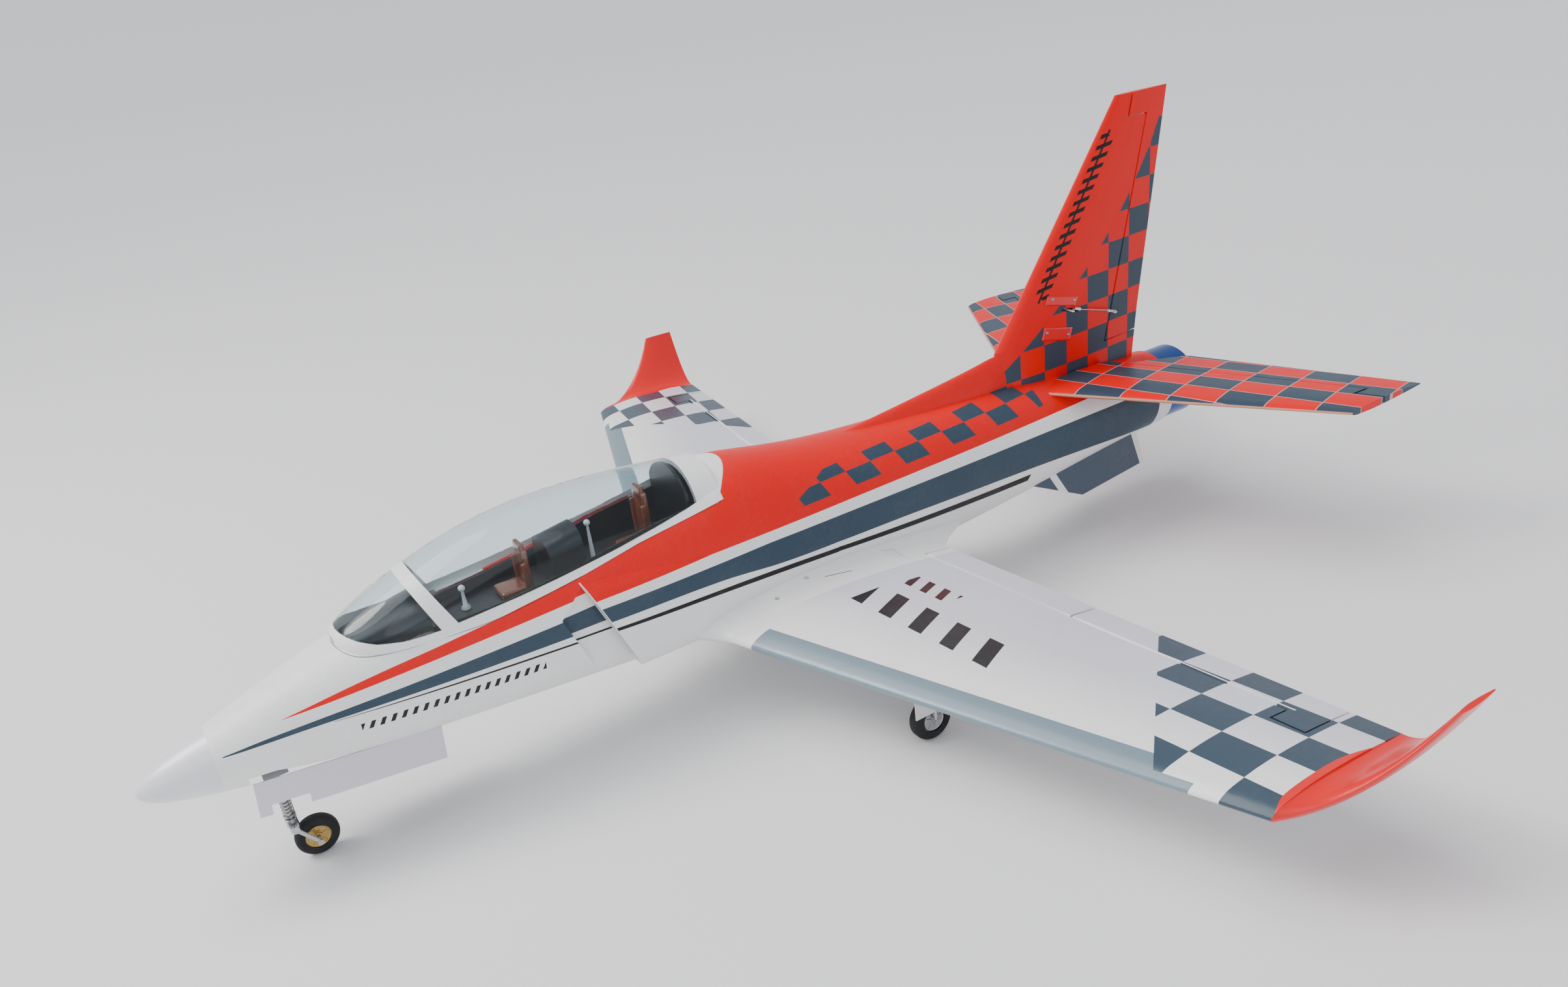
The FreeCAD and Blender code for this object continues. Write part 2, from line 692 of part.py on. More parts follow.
class Linkage:
    """A servo arm, pushrod and surface horn that move as a parallelogram about two parallel axes."""

    def __init__(self, hinge, axis, arm, length):
        self.axis = Vector(axis).normalize()
        arm = Vector(arm)
        self.arm = (arm - self.axis * arm.dot(self.axis)).normalize()
        self.aft = self.axis.cross(self.arm)
        if self.aft.y < 0:
            self.aft = self.aft * -1
        self.hinge = hinge
        self.servo = hinge - self.aft * length
        self.turn = Rotation(self.arm, Vector(), self.axis, "ZXY")
        self.length = length

    def horn(self):
        """The plate glued to the moving surface, with the rod's hole in its tip."""
        tip = self.arm * size.arm_length
        outline = [
            tip - self.aft * 2.2 - self.arm * 1.5,
            tip + self.arm * 2.2 - self.aft * 1.2,
            tip + self.arm * 2.2 + self.aft * 1.2,
            self.arm * 3 + self.aft * 20,
            self.arm * -0.5 + self.aft * 20,
            self.arm * -0.5 + self.aft * 6,
            self.arm * 7 + self.aft * 4,
        ]
        plate = prism([self.hinge + p for p in outline], self.axis * size.arm_thickness)
        hole = Part.makeCylinder(size.rod_radius + 0.1, 4, self.hinge + tip - self.axis, self.axis)
        return plate.cut(hole)


def make_arm(label, link):
    """The servo arm: a hub on the servo's shaft and a tapering blade with the rod's hole."""
    reach = link.arm * size.arm_length
    blade = block(label + "_blade", "dims.arm_length", "dims.arm_width", "dims.arm_thickness",
                  link.servo + reach * 0.5 + link.axis * (size.arm_thickness / 2), link.turn)
    hub = cylinder(label + "_hub", "dims.arm_width * 0.62", "dims.arm_thickness + 1.2", link.servo, link.turn)
    tip = cylinder(label + "_tip", "dims.arm_width / 2", "dims.arm_thickness", link.servo + reach, link.turn)
    hole = cylinder(label + "_hole", "dims.rod_radius + 0.1", "6", link.servo + reach - link.axis * 2, link.turn)
    return cut(label, fuse(label + "_solid", [blade, hub, tip]), hole)


def make_rod(label, link):
    """The pushrod: a straight wire beside both plates with a bent end through each hole."""
    pin = link.servo + link.arm * size.arm_length
    beside = link.axis * (size.arm_thickness + 0.4 + size.rod_radius + 0.25)
    wire = cylinder(label + "_wire", "dims.rod_radius + 0.25", str(link.length + 3), pin + beside - link.aft * 1.5,
                    Rotation(Vector(0, 0, 1), link.aft))
    ends = []
    for number, place in enumerate((pin, pin + link.aft * link.length)):
        ends.append(cylinder("%s_end_%d" % (label, number), "dims.rod_radius", "dims.arm_thickness + 2.2",
                             place - link.axis * 0.8, link.turn))
    return fuse(label, [wire] + ends)


def servo_block(label, link):
    """The servo's case behind its shaft, thin across the surface it lies in."""
    back = link.servo - link.axis * (size.servo_height / 2 + 0.3) - link.aft * 5
    return block(label, "dims.servo_thickness", "dims.servo_length", "dims.servo_height", back, link.turn)


links = {}
servo_cases = []
for name, side in SIDES.items():
    inner, outer = hinge_point(AILERON_SPAN[0]), hinge_point(AILERON_SPAN[1])
    axis = outer - inner
    place = inner + axis * 0.4
    link = Linkage(Vector(place.x * side, place.y, place.z), Vector(axis.x, axis.y * side, axis.z * side),
                   Vector(0, 0, -1), 78)
    links["aileron_" + name] = link

ELEVATOR_HINGE = [(38, 1269), (314, 1389.8)]
ELEVATOR_TIP = 346
for name, side in SIDES.items():
    inner, outer = [at(x, s, STAB_HEIGHT) for x, s in ELEVATOR_HINGE]
    axis = outer - inner
    place = inner + axis * 0.22
    link = Linkage(Vector(place.x * side, place.y, place.z), Vector(axis.x, axis.y * side, 0), Vector(0, 0, -1), 66)
    links["elevator_" + name] = link

RUDDER_HINGE = [(254, 1260.8), (573, 1347.9)]
low_hinge, high_hinge = [at(0, s, level) for level, s in RUDDER_HINGE]
place = low_hinge + (high_hinge - low_hinge) * 0.125
links["rudder"] = Linkage(place, high_hinge - low_hinge, Vector(1, 0, 0), 80)

for name, link in links.items():
    make_arm(name + "_servo_arm", link)
    make_rod(name + "_pushrod", link)
    servo_cases.append(servo_block(name + "_servo", link))
doc.recompute()


def servo_room(name):
    """A pocket round a servo, its arm's hub and its swing, a little larger than the parts."""
    link = links[name]
    long_side = size.servo_length + 1
    across = link.turn.multVec(Vector(0, 1, 0))
    corner = link.servo - link.axis * (size.servo_height + 0.8) - link.aft * (5 + long_side / 2)
    corner = corner - link.arm * (size.servo_thickness / 2 + 0.3)
    if across.dot(link.aft) < 0:
        corner = corner - across * long_side
    room = Part.makeBox(size.servo_thickness + 0.6, long_side, size.servo_height + 1)
    room.Placement = Placement(corner, link.turn)
    swing = Part.makeBox(26, 30, 4.2)
    start = link.servo - link.axis * 0.5 - link.arm * 5.5 - across * 15
    swing.Placement = Placement(start, link.turn)
    return [room, swing]


SCREW_PLACES = ((82, 706), (94, 658))
SCREW_RISE = 15
for x, screw_station in SCREW_PLACES:
    top = wing_height(x) + SCREW_RISE
    wing = wing.cut(Part.makeCylinder(size.screw_radius + size.running_clearance, 12, at(x, screw_station, top - 8.5)))
    wing = wing.cut(Part.makeCylinder(size.screw_head_radius + 0.2, 12, at(x, screw_station, top + 1.8)))
wing_open = wing.cut(solid_body)
for name, side in SIDES.items():
    flip = (lambda shape: shape) if side > 0 else mirrored
    panel = flip(wing_open)
    for room in servo_room("aileron_" + name):
        panel = panel.cut(room)
    feature("wing_" + name, panel)
    feature("flap_" + name, flip(flap))
    feature("aileron_" + name, flip(aileron).fuse(links["aileron_" + name].horn()))

# ---------------------------------------------------------------- wing tips

WINGLET = [
    (655, 778.7, 953.5, 115.5, 0.11, 0),
    (676, 826, 955.5, 122, 0.1, 22),
    (697, 868, 957, 146, 0.095, 52),
    (723.3, 910.5, 958.4, 196, 0.09, 58),
]
winglet_wires = []
for x, nose, tail, height, ratio, lean in WINGLET:
    normal = Vector(-math.sin(math.radians(lean)), 0, math.cos(math.radians(lean)))
    winglet_wires.append(foil(at(x, nose, height), at(x, tail, height), normal, ratio))
winglet = Part.makeLoft(winglet_wires, True, False)
if winglet.Volume < 0:
    winglet.reverse()
feature("winglets", Part.makeCompound([winglet, mirrored(winglet)]))

# ---------------------------------------------------------------- tail

fin = fin_solid.cut(solid_body)
RUDDER_BOTTOM = 255.5
HORN_LEVEL = 544


def rudder_strip(level_low, level_high, profile):
    ends = []
    for level in (level_low, level_high):
        share = (level - RUDDER_HINGE[0][0]) / (RUDDER_HINGE[1][0] - RUDDER_HINGE[0][0])
        ends.append(low_hinge + (high_hinge - low_hinge) * share)
    return strip(ends[0], ends[1], Vector(1, 0, 0), profile)


TAIL_REACH = 90
TAIL_WEDGE = [(0, 0), (TAIL_REACH, TAIL_REACH * 1.73), (TAIL_REACH, -TAIL_REACH * 1.73)]


def tail_slot(gap, half=60):
    return [(-gap, -half), (TAIL_REACH, -half), (TAIL_REACH, half), (-gap, half)]


RUDDER_HORN = 33
rudder = fin_solid.common(
    rudder_strip(RUDDER_BOTTOM, 574, TAIL_WEDGE).fuse(rudder_strip(HORN_LEVEL, 574, tail_slot(RUDDER_HORN)))
)
rudder = rudder.fuse(links["rudder"].horn())
feature("rudder", rudder)
fin = fin.cut(rudder_strip(RUDDER_BOTTOM - END_GAP, 575, tail_slot(size.hinge_gap)))
fin = fin.cut(rudder_strip(HORN_LEVEL - END_GAP, 575, tail_slot(RUDDER_HORN + 2.5)))
for room in servo_room("rudder"):
    fin = fin.cut(room)
feature("fin", fin)


def stab_strip(x_low, x_high, profile):
    (x_in, s_in), (x_out, s_out) = ELEVATOR_HINGE
    slope = (s_out - s_in) / (x_out - x_in)
    ends = [at(x, s_in + slope * (x - x_in), STAB_HEIGHT) for x in (x_low, x_high)]
    return strip(ends[0], ends[1], UP, profile)


ELEVATOR_HORN = 24
elevator = stab_solid.common(
    stab_strip(38, 316, TAIL_WEDGE).fuse(stab_strip(316, ELEVATOR_TIP, tail_slot(ELEVATOR_HORN)))
)
root_trim = prism([at(0, 1250, 180), at(34, 1258, 180), at(74, 1364, 180), at(0, 1364, 180)], Vector(0, 0, 80))
elevator = elevator.cut(root_trim)
stab = stab_solid.cut(stab_strip(0, 360, tail_slot(size.hinge_gap)))
stab = stab.cut(stab_strip(316 - 3, 360, tail_slot(ELEVATOR_HORN + 3)))
for name, side in SIDES.items():
    flip = (lambda shape: shape) if side > 0 else mirrored
    panel = flip(stab)
    for room in servo_room("elevator_" + name):
        panel = panel.cut(room)
    feature("stabilizer_" + name, panel)
    feature("elevator_" + name, flip(elevator).fuse(links["elevator_" + name].horn()))

VENTRAL = [(1083, 108), (1177.5, 63), (1298, 73), (1291, 122)]
panel = prism([at(36, s, level) for s, level in VENTRAL], Vector(3, 0, 0))
panel.rotate(at(36, 1190, 110), Vector(0, 1, 0), -14)
panel = panel.cut(solid_body)
feature("ventral_fins", Part.makeCompound([panel, mirrored(panel)]))

# ---------------------------------------------------------------- spar, power and radio

spar = cylinder("spar_tube", "dims.spar_radius", "dims.spar_half_length * 2",
                at(-size.spar_half_length, size.spar_station, size.spar_height), ACROSS)
bore = cylinder("spar_bore", "dims.spar_bore", "dims.spar_half_length * 2",
                at(-size.spar_half_length, size.spar_station, size.spar_height), ACROSS)
cut("wing_spar", spar, bore)
block("battery", "dims.battery_width", "dims.battery_length", "dims.battery_height",
      at(0, 381, 116 + size.battery_height / 2))
block("speed_controller", "dims.controller_width", "dims.controller_length", "dims.controller_height",
      at(0, 625, 100))
block("receiver", "dims.receiver_width", "dims.receiver_length", "dims.receiver_height", at(0, 515, 112))
group("servos", servo_cases)

# ---------------------------------------------------------------- landing gear

nose_pivot = at(0, size.nose_pivot_station, size.nose_pivot_height)
nose_axle = at(0, size.nose_wheel_station, size.nose_tyre_radius)
COLLAR_LOW, COLLAR_HIGH = 44, 54
trunnion = cylinder("nose_trunnion", "6", "12", nose_pivot - Vector(6, 0, 0), ACROSS)
leg = cylinder("nose_leg", "dims.leg_radius * 1.7", "58", at(0, size.nose_pivot_station, COLLAR_HIGH + 0.5))
steering_pin = cylinder("nose_steering_pin", "dims.leg_radius", "26", at(0, size.nose_pivot_station, COLLAR_LOW))
trunnion_bore = cylinder("nose_trunnion_bore", "2 + dims.running_clearance", "14", nose_pivot - Vector(7, 0, 0),
                         ACROSS)
cut("nose_strut", fuse("nose_strut_solid", [trunnion, leg, steering_pin]), trunnion_bore)

collar = cylinder("nose_collar", "6", "10", at(0, size.nose_pivot_station, COLLAR_LOW))
cheek = block("nose_cheek", "8", "9", "8", at(9, size.nose_pivot_station, COLLAR_LOW + 4))
collar_bore = cylinder("nose_collar_bore", "dims.leg_radius + dims.running_clearance", "12",
                       at(0, size.nose_pivot_station, COLLAR_LOW - 1))
cut("nose_fork", fuse("nose_fork_solid", [collar, cheek]), collar_bore)

LINK_X = 16
link_pivot = at(LINK_X, size.nose_pivot_station, COLLAR_LOW + 4)
reach = at(LINK_X, size.nose_wheel_station, size.nose_tyre_radius) - link_pivot
arm = cylinder("nose_link_arm", "2.2", str(reach.Length), link_pivot, Rotation(Vector(0, 0, 1), reach))
head = cylinder("nose_link_head", "4", "5", link_pivot - Vector(2.5, 0, 0), ACROSS)
axle = cylinder("nose_axle", "dims.axle_radius", "28", nose_axle - Vector(11, 0, 0), ACROSS)
keeper = cylinder("nose_keeper", "3", "2.5", nose_axle - Vector(11, 0, 0), ACROSS)
foot = cylinder("nose_link_foot", "3.2", "5", nose_axle + Vector(LINK_X - 2.5, 0, 0), ACROSS)
fuse("nose_link", [arm, head, axle, keeper, foot])

ring_body("nose_tyre", "dims.nose_hub_radius", "dims.nose_tyre_radius", "dims.nose_tyre_width", nose_axle, ACROSS,
          "dims.tyre_rounding")
ring_body("nose_wheel_hub", "dims.axle_radius + dims.running_clearance", "dims.nose_hub_radius",
          "dims.nose_tyre_width - 2", nose_axle, ACROSS)

retract_units = []
unit_items = []
for number, offset in enumerate((-10.5, 10.5)):
    unit_items.append(block("nose_cheek_%d" % number, "6.4", "24", "21", nose_pivot + Vector(offset, 0, 5.5)))
unit_items.append(block("nose_bridge", "27.4", "30", "6", nose_pivot + Vector(0, 0, 13)))
unit_items.append(cylinder("nose_pin", "2", "27.4", nose_pivot - Vector(13.7, 0, 0), ACROSS))
retract_units.append(fuse("nose_retract", unit_items))

# The main door starts below the pivot by this drop, so that it clears the retract unit when folded
MAIN_DOOR_DROP = 9
MAIN_DOOR_DEPTH = 54.5
for name, side in SIDES.items():
    pivot = Vector(PIVOT.x * side, PIVOT.y, PIVOT.z)
    inward = Vector(-side, 0, 0)
    wheel = at(size.main_wheel_x * side, size.main_wheel_station, size.main_tyre_radius)
    tag = "main_%s_" % name
    trunnion = cylinder(tag + "trunnion", "5", "12", pivot - Vector(0, 6, 0), ALONG)
    leg = cylinder(tag + "leg", "dims.leg_radius", "dims.main_pivot_height - dims.main_tyre_radius",
                   Vector(pivot.x, pivot.y, size.main_tyre_radius))
    foot = cylinder(tag + "foot", "3.6", "5.6", Vector(pivot.x - 2.8, pivot.y, size.main_tyre_radius), ACROSS)
    axle = cylinder(tag + "axle", "dims.axle_radius", "20.5",
                    Vector(pivot.x, pivot.y, size.main_tyre_radius),
                    Rotation(Vector(0, 0, 1), inward))
    keeper = cylinder(tag + "keeper", "3", "2", wheel + inward * 7.5, Rotation(Vector(0, 0, 1), inward))
    clips = [
        block(tag + "clip_%d" % level, "2.5", "6", "5", Vector(pivot.x + 1.75 * side, pivot.y, level))
        for level in (58, 86)
    ]
    bore = cylinder(tag + "bore", "2 + dims.running_clearance", "14", pivot - Vector(0, 7, 0), ALONG)
    cut("main_strut_" + name, fuse(tag + "solid", [trunnion, leg, foot, axle, keeper] + clips), bore)
    ring_body("main_tyre_" + name, "dims.main_hub_radius", "dims.main_tyre_radius", "dims.main_tyre_width", wheel,
              ACROSS, "dims.tyre_rounding")
    ring_body("main_wheel_hub_" + name, "dims.axle_radius + dims.running_clearance", "dims.main_hub_radius",
              "dims.main_tyre_width - 3", wheel, ACROSS)
    block("main_door_" + name, "dims.door_thickness - 0.3", "58", str(MAIN_DOOR_DEPTH),
          Vector(pivot.x + 3.75 * side, pivot.y, size.main_pivot_height - MAIN_DOOR_DROP - MAIN_DOOR_DEPTH / 2))
    unit_items = []
    for number, offset in enumerate((-11.7, 11.7)):
        unit_items.append(block(tag + "cheek_%d" % number, "16", "9.4", "18", pivot + Vector(0, offset, 4)))
    unit_items.append(block(tag + "bridge", "22", "34", "5", pivot + Vector(0, 0, 11)))
    unit_items.append(cylinder(tag + "pin", "2", "32.8", pivot - Vector(0, 16.4, 0), ALONG))
    retract_units.append(fuse(name + "_retract", unit_items))
doc.recompute()
group("retract_units", retract_units)

# Nose gear doors: flat panels that hang from the edges of the bay, splayed a little outwards
DOOR_HINGE_X = 35
DOOR_FRONT, DOOR_BACK = (96, 128.5), (280, 108.5)
DOOR_SPLAY = 12
for name, side in SIDES.items():
    front = at(DOOR_HINGE_X * side, *DOOR_FRONT)
    axis = (at(DOOR_HINGE_X * side, *DOOR_BACK) - front).normalize()
    down = Rotation(axis, -DOOR_SPLAY * side).multVec(Vector(0, 0, -1))
    down = (down - axis * down.dot(axis)).normalize()
    outward = down.cross(axis) * side
    turn = Rotation(axis, down, Vector(), "XYZ")
    panel = doc.addObject("Part::Box", "nose_door_%s_panel" % name)
    panel.Placement = Placement(front + down * 0.6, turn)
    bind(panel, Length="dims.nose_door_length", Width="dims.nose_door_depth", Height="dims.door_thickness")
    notch = doc.addObject("Part::Box", "nose_door_%s_notch" % name)
    notch.Placement = Placement(front + axis * 12 + down * (size.nose_door_depth - 9) - turn.multVec(Vector(0, 0, 3)),
                                turn)
    bind(notch, Length="36", Width="12", Height="9")
    cut("nose_door_" + name, panel, notch)

# ---------------------------------------------------------------- screws

screws = []
for side in SIDES.values():
    for x, screw_station in SCREW_PLACES:
        top = wing_height(x) + SCREW_RISE
        shank = Part.makeCylinder(size.screw_radius, 10, at(x * side, screw_station, top - 8))
        head = Part.makeCylinder(size.screw_head_radius, 2, at(x * side, screw_station, top + 1.9))
        screws.append(shank.fuse(head))
feature("screws", Part.makeCompound(screws))

# ---------------------------------------------------------------- files

NODES = """
nose_cone fuselage_front fuselage_rear inlet_duct fan_housing fan_motor fan_rotor exhaust_nozzle
wing_left wing_right winglets wing_spar flap_left flap_right aileron_left aileron_right
fin rudder stabilizer_left stabilizer_right elevator_left elevator_right ventral_fins
canopy_frame canopy_glass cockpit_tub seats control_sticks instrument_hoods
battery speed_controller receiver servos retract_units screws
rudder_servo_arm rudder_pushrod elevator_left_servo_arm elevator_left_pushrod elevator_right_servo_arm
elevator_right_pushrod aileron_left_servo_arm aileron_left_pushrod aileron_right_servo_arm aileron_right_pushrod
nose_strut nose_fork nose_link nose_wheel_hub nose_tyre nose_door_left nose_door_right
main_strut_left main_wheel_hub_left main_tyre_left main_door_left
main_strut_right main_wheel_hub_right main_tyre_right main_door_right
""".split()

doc.recompute()
for item in doc.Objects:
    if "Invalid" in item.State or "Error" in item.State:
        raise RuntimeError("failed: %s %s" % (item.Label, item.State))
os.makedirs("parts", exist_ok=True)
for node in NODES:
    shape = doc.getObjectsByLabel(node)[0].Shape
    if shape.isNull() or not shape.isValid():
        raise RuntimeError("bad shape: " + node)
    print(node, len(shape.Solids), round(shape.Volume / 1000, 2))
    shape.exportStep("parts/%s.step" % node)
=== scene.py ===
"""Looks of a foam ducted-fan jet model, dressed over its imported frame.

The frame is in metres: +X port wing tip, +Y tail, +Z up. The paint schemes are laid out in
millimetres: station from the nose tip, span out from the middle, and height above the ground.
"""
import math

import bmesh
import bpy
from mathutils import Matrix, Vector


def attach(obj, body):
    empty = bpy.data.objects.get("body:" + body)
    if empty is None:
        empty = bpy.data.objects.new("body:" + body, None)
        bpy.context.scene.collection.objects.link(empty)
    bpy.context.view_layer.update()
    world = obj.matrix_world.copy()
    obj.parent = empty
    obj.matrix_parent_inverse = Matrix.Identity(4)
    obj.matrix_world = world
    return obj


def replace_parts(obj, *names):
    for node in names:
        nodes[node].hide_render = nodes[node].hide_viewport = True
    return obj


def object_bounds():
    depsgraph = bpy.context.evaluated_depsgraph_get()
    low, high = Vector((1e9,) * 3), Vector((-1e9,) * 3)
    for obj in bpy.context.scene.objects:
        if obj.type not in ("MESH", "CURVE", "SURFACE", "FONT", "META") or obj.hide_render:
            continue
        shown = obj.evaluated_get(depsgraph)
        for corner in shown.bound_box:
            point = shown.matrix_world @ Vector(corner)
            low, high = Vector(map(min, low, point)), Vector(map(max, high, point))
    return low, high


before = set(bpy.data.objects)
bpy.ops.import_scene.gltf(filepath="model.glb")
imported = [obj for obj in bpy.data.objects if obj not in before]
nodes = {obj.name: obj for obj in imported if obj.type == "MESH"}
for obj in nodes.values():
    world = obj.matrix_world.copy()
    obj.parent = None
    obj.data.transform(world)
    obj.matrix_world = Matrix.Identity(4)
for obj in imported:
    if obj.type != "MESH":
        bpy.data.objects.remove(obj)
cad_box = [list(corner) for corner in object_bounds()]

MM = 0.001
NOSE_TIP = cad_box[0][1] / MM
SIDES = {"left": 1, "right": -1}
# How far the lines drawn by Field.line reach: position, value
SIDE_REACH = (1450, 600)
PLAN_REACH = (1450, 1450)

WHITE = (0.88, 0.88, 0.87)
RED = (0.78, 0.0, 0.0)
SLATE = (0.030, 0.058, 0.088)
INK = (0.006, 0.006, 0.008)
PALE_EDGE = (0.62, 0.36, 0.36)
DEEP_SLATE = (0.02, 0.045, 0.085)
PLASTIC_WHITE = (0.80, 0.80, 0.84)
SEAT_BROWN = (0.22, 0.05, 0.018)
# Painted reflection: a saturated blue stands for the sky mirrored in the nozzle's glossy metal, laid all
# round the nozzle and its lip
NOZZLE_SKY_REFLECTION_BLUE = (0.03, 0.09, 0.32)
BRASS = (0.55, 0.38, 0.14)
BARE_METAL = (0.5, 0.5, 0.52)


def at(span, station, height):
    """A place in the frame from a span, station and height in millimetres."""
    return Vector((span * MM, (station + NOSE_TIP) * MM, height * MM))


# ---------------------------------------------------------------- paint by arithmetic on nodes


class Field:
    """A number that varies over a surface: a node's output that takes ordinary arithmetic."""

    def __init__(self, paint, socket):
        self.paint = paint
        self.socket = socket

    def math(self, operation, *others):
        node = self.paint.add("ShaderNodeMath", operation=operation)
        for number, value in enumerate((self,) + others):
            self.paint.feed(node.inputs[number], value)
        return Field(self.paint, node.outputs[0])

    def __add__(self, other):
        return self.math("ADD", other)

    def __sub__(self, other):
        return self.math("SUBTRACT", other)

    def __mul__(self, other):
        return self.math("MULTIPLY", other)

    def __rsub__(self, other):
        return self * -1 + other

    def __truediv__(self, other):
        return self.math("DIVIDE", other)

    def __gt__(self, other):
        return self.math("GREATER_THAN", other)

    def __lt__(self, other):
        return self.math("LESS_THAN", other)

    def __and__(self, other):
        return self.math("MINIMUM", other)

    def __or__(self, other):
        return self.math("MAXIMUM", other)

    def __invert__(self):
        return self * -1 + 1

    def floor(self):
        return self.math("FLOOR")

    def odd(self):
        """1 where a whole number is odd."""
        return self.math("PINGPONG", 1.0) > 0.5

    def within(self, low, high):
        return (self > low) & (self < high)

    def repeat(self, length):
        """The part left over after whole lengths."""
        return self.math("FLOORED_MODULO", length)

    def line(self, points, reach=SIDE_REACH):
        """A smooth line through (position, value) points."""
        curve = self.paint.add("ShaderNodeFloatCurve")
        self.paint.feed(curve.inputs["Value"], self / reach[0])
        knots = curve.mapping.curves[0].points
        while len(knots) < len(points):
            knots.new(0.5, 0.5)
        for knot, (position, value) in zip(knots, points):
            knot.location = (position / reach[0], value / reach[1])
            knot.handle_type = "AUTO_CLAMPED"
        curve.mapping.update()
        return Field(self.paint, curve.outputs[0]) * reach[1]


class Paint:
    """A material whose colour is built in masked layers, placed by the object's own coordinates."""

    def __init__(self, name, colour, **settings):
        self.material = bpy.data.materials.new(name)
        self.material.use_nodes = True
        self.tree = self.material.node_tree
        self.shader = self.tree.nodes["Principled BSDF"]
        for key, value in settings.items():
            self.shader.inputs[key.replace("_", " ")].default_value = value
        self.place = self.add("ShaderNodeTexCoord").outputs["Object"]
        split = self.add("ShaderNodeSeparateXYZ")
        self.feed(split.inputs[0], self.place)
        across, along, up = [Field(self, output) for output in split.outputs]
        self.across = across * (1 / MM)
        self.span = self.across.math("ABSOLUTE")
        self.station = along * (1 / MM) - NOSE_TIP
        self.height = up * (1 / MM)
        self.colour = (*colour, 1.0)
        self.relief = None

    def add(self, kind, **settings):
        node = self.tree.nodes.new(kind)
        for key, value in settings.items():
            setattr(node, key, value)
        return node

    def feed(self, socket, value):
        """Links a field or socket, or sets a plain value."""
        value = getattr(value, "socket", value)
        if isinstance(value, bpy.types.NodeSocket):
            self.tree.links.new(value, socket)
        else:
            socket.default_value = value

    def layer(self, colour, mask):
        """Lays a colour over what is there, where the mask is 1."""
        mix = self.add("ShaderNodeMix", data_type="RGBA")
        self.feed(mix.inputs["Factor"], mask)
        self.feed(mix.inputs["A"], self.colour)
        self.feed(mix.inputs["B"], (*colour, 1.0) if isinstance(colour, tuple) else colour)
        self.colour = mix.outputs["Result"]

    def noise(self, size, detail):
        """Cloudy noise from 0 to 1 with blobs of about a size in millimetres."""
        node = self.add("ShaderNodeTexNoise")
        self.feed(node.inputs["Vector"], self.place)
        node.inputs["Scale"].default_value = 1 / (size * MM)
        node.inputs["Detail"].default_value = detail
        return Field(self, node.outputs["Fac"])

    def cells(self, size):
        """Distance to the middle of the nearest of many beads of about a size in millimetres."""
        node = self.add("ShaderNodeTexVoronoi", feature="SMOOTH_F1")
        self.feed(node.inputs["Vector"], self.place)
        node.inputs["Scale"].default_value = 1 / (size * MM)
        return Field(self, node.outputs["Distance"])

    def emboss(self, height, depth):
        """Adds surface relief from a 0 to 1 field, of a depth in millimetres."""
        bump = self.add("ShaderNodeBump")
        bump.inputs["Strength"].default_value = 1.0
        bump.inputs["Distance"].default_value = depth * MM
        self.feed(bump.inputs["Height"], height)
        if self.relief:
            self.feed(bump.inputs["Normal"], self.relief)
        self.relief = bump.outputs[0]

    def mottle(self, amount, size=60, towards=(0.25, 0.22, 0.2)):
        """Faint handling marks: uneven colour over patches of a size."""
        patch = self.noise(size, 4.0) * self.noise(size / 9, 3.0)
        self.layer(towards, (patch - 0.22) * amount)

    def roughen(self, low, high, size=25):
        """Roughness that wanders between two values."""
        spread = self.noise(size, 4.0)
        self.feed(self.shader.inputs["Roughness"], spread * (high - low) + low)

    def done(self):
        self.feed(self.shader.inputs["Base Color"], self.colour)
        if self.relief:
            self.feed(self.shader.inputs["Normal"], self.relief)
        return self.material

    def wear(self, *names):
        """Finishes the material and puts it on these CAD nodes."""
        material = self.done()
        for name in names:
            mesh = nodes[name].data
            mesh.materials.clear()
            mesh.materials.append(material)
        return material


# Sizes of the foam's beads and of the paint's orange peel
BEAD = 3.2
PEEL = 1.1
# The share of each pitch that a stroke starts and ends at
STROKE = (0.12, 0.55)


def foam(paint, depth=0.22):
    """Moulded bead foam under paint: soft lumps the size of the beads, and a fine orange peel."""
    paint.emboss(paint.cells(BEAD), depth)
    paint.emboss(paint.noise(PEEL, 3.0), depth * 0.35)


def dashes(along, across, start, end, low, high, pitch, lean=0.5):
    """A row of slanted strokes: a plain ornament where a maker's lettering would be."""
    slanted = along - across * lean
    fill = slanted.repeat(pitch).within(pitch * STROKE[0], pitch * STROKE[1])
    return fill & along.within(start, end) & across.within(low, high)


# ---------------------------------------------------------------- paint schemes


# Edges of the bands seen from the side, as a few (station, height) places each
SEAM = [(190, 246), (215, 222), (240, 217), (330, 215.5), (415, 223.5), (520, 240), (628, 254)]
RED_TOP = [(135, 185), (220, 200), (310, 211), (385, 220), (455, 233)]
RED_FOOT = [(135, 185), (285, 197), (455, 208)]
RED_FOOT_AFT = [(455, 201), (700, 203), (1330, 202)]
SLATE_TOP = [(80, 167), (130, 173), (260, 181), (455, 190)]
SLATE_TOP_AFT = [(455, 191), (830, 189), (1330, 180)]
SLATE_FOOT = [(80, 166), (190, 170), (455, 168)]
SLATE_FOOT_AFT = [(455, 173), (600, 170), (690, 161), (900, 153), (1130, 139), (1330, 119)]
LINE_TOP = [(180, 169), (320, 164.5), (470, 158.5)]
LINE_TOP_AFT = [(470, 164), (650, 158), (800, 148), (1075, 134.5)]
LINE_FOOT = [(180, 168.5), (320, 162.5), (470, 156)]
LINE_FOOT_AFT = [(470, 160), (650, 152), (820, 140), (1070, 125.5)]
NOSE_STROKES = [(190, 152.5), (410, 146.5)]
# The cheek intakes stand out past this span from here; behind the mouth the aft edges hold everywhere
BULGE_SPAN = 68.4
BULGE_START = 452
MOUTH_END = 500
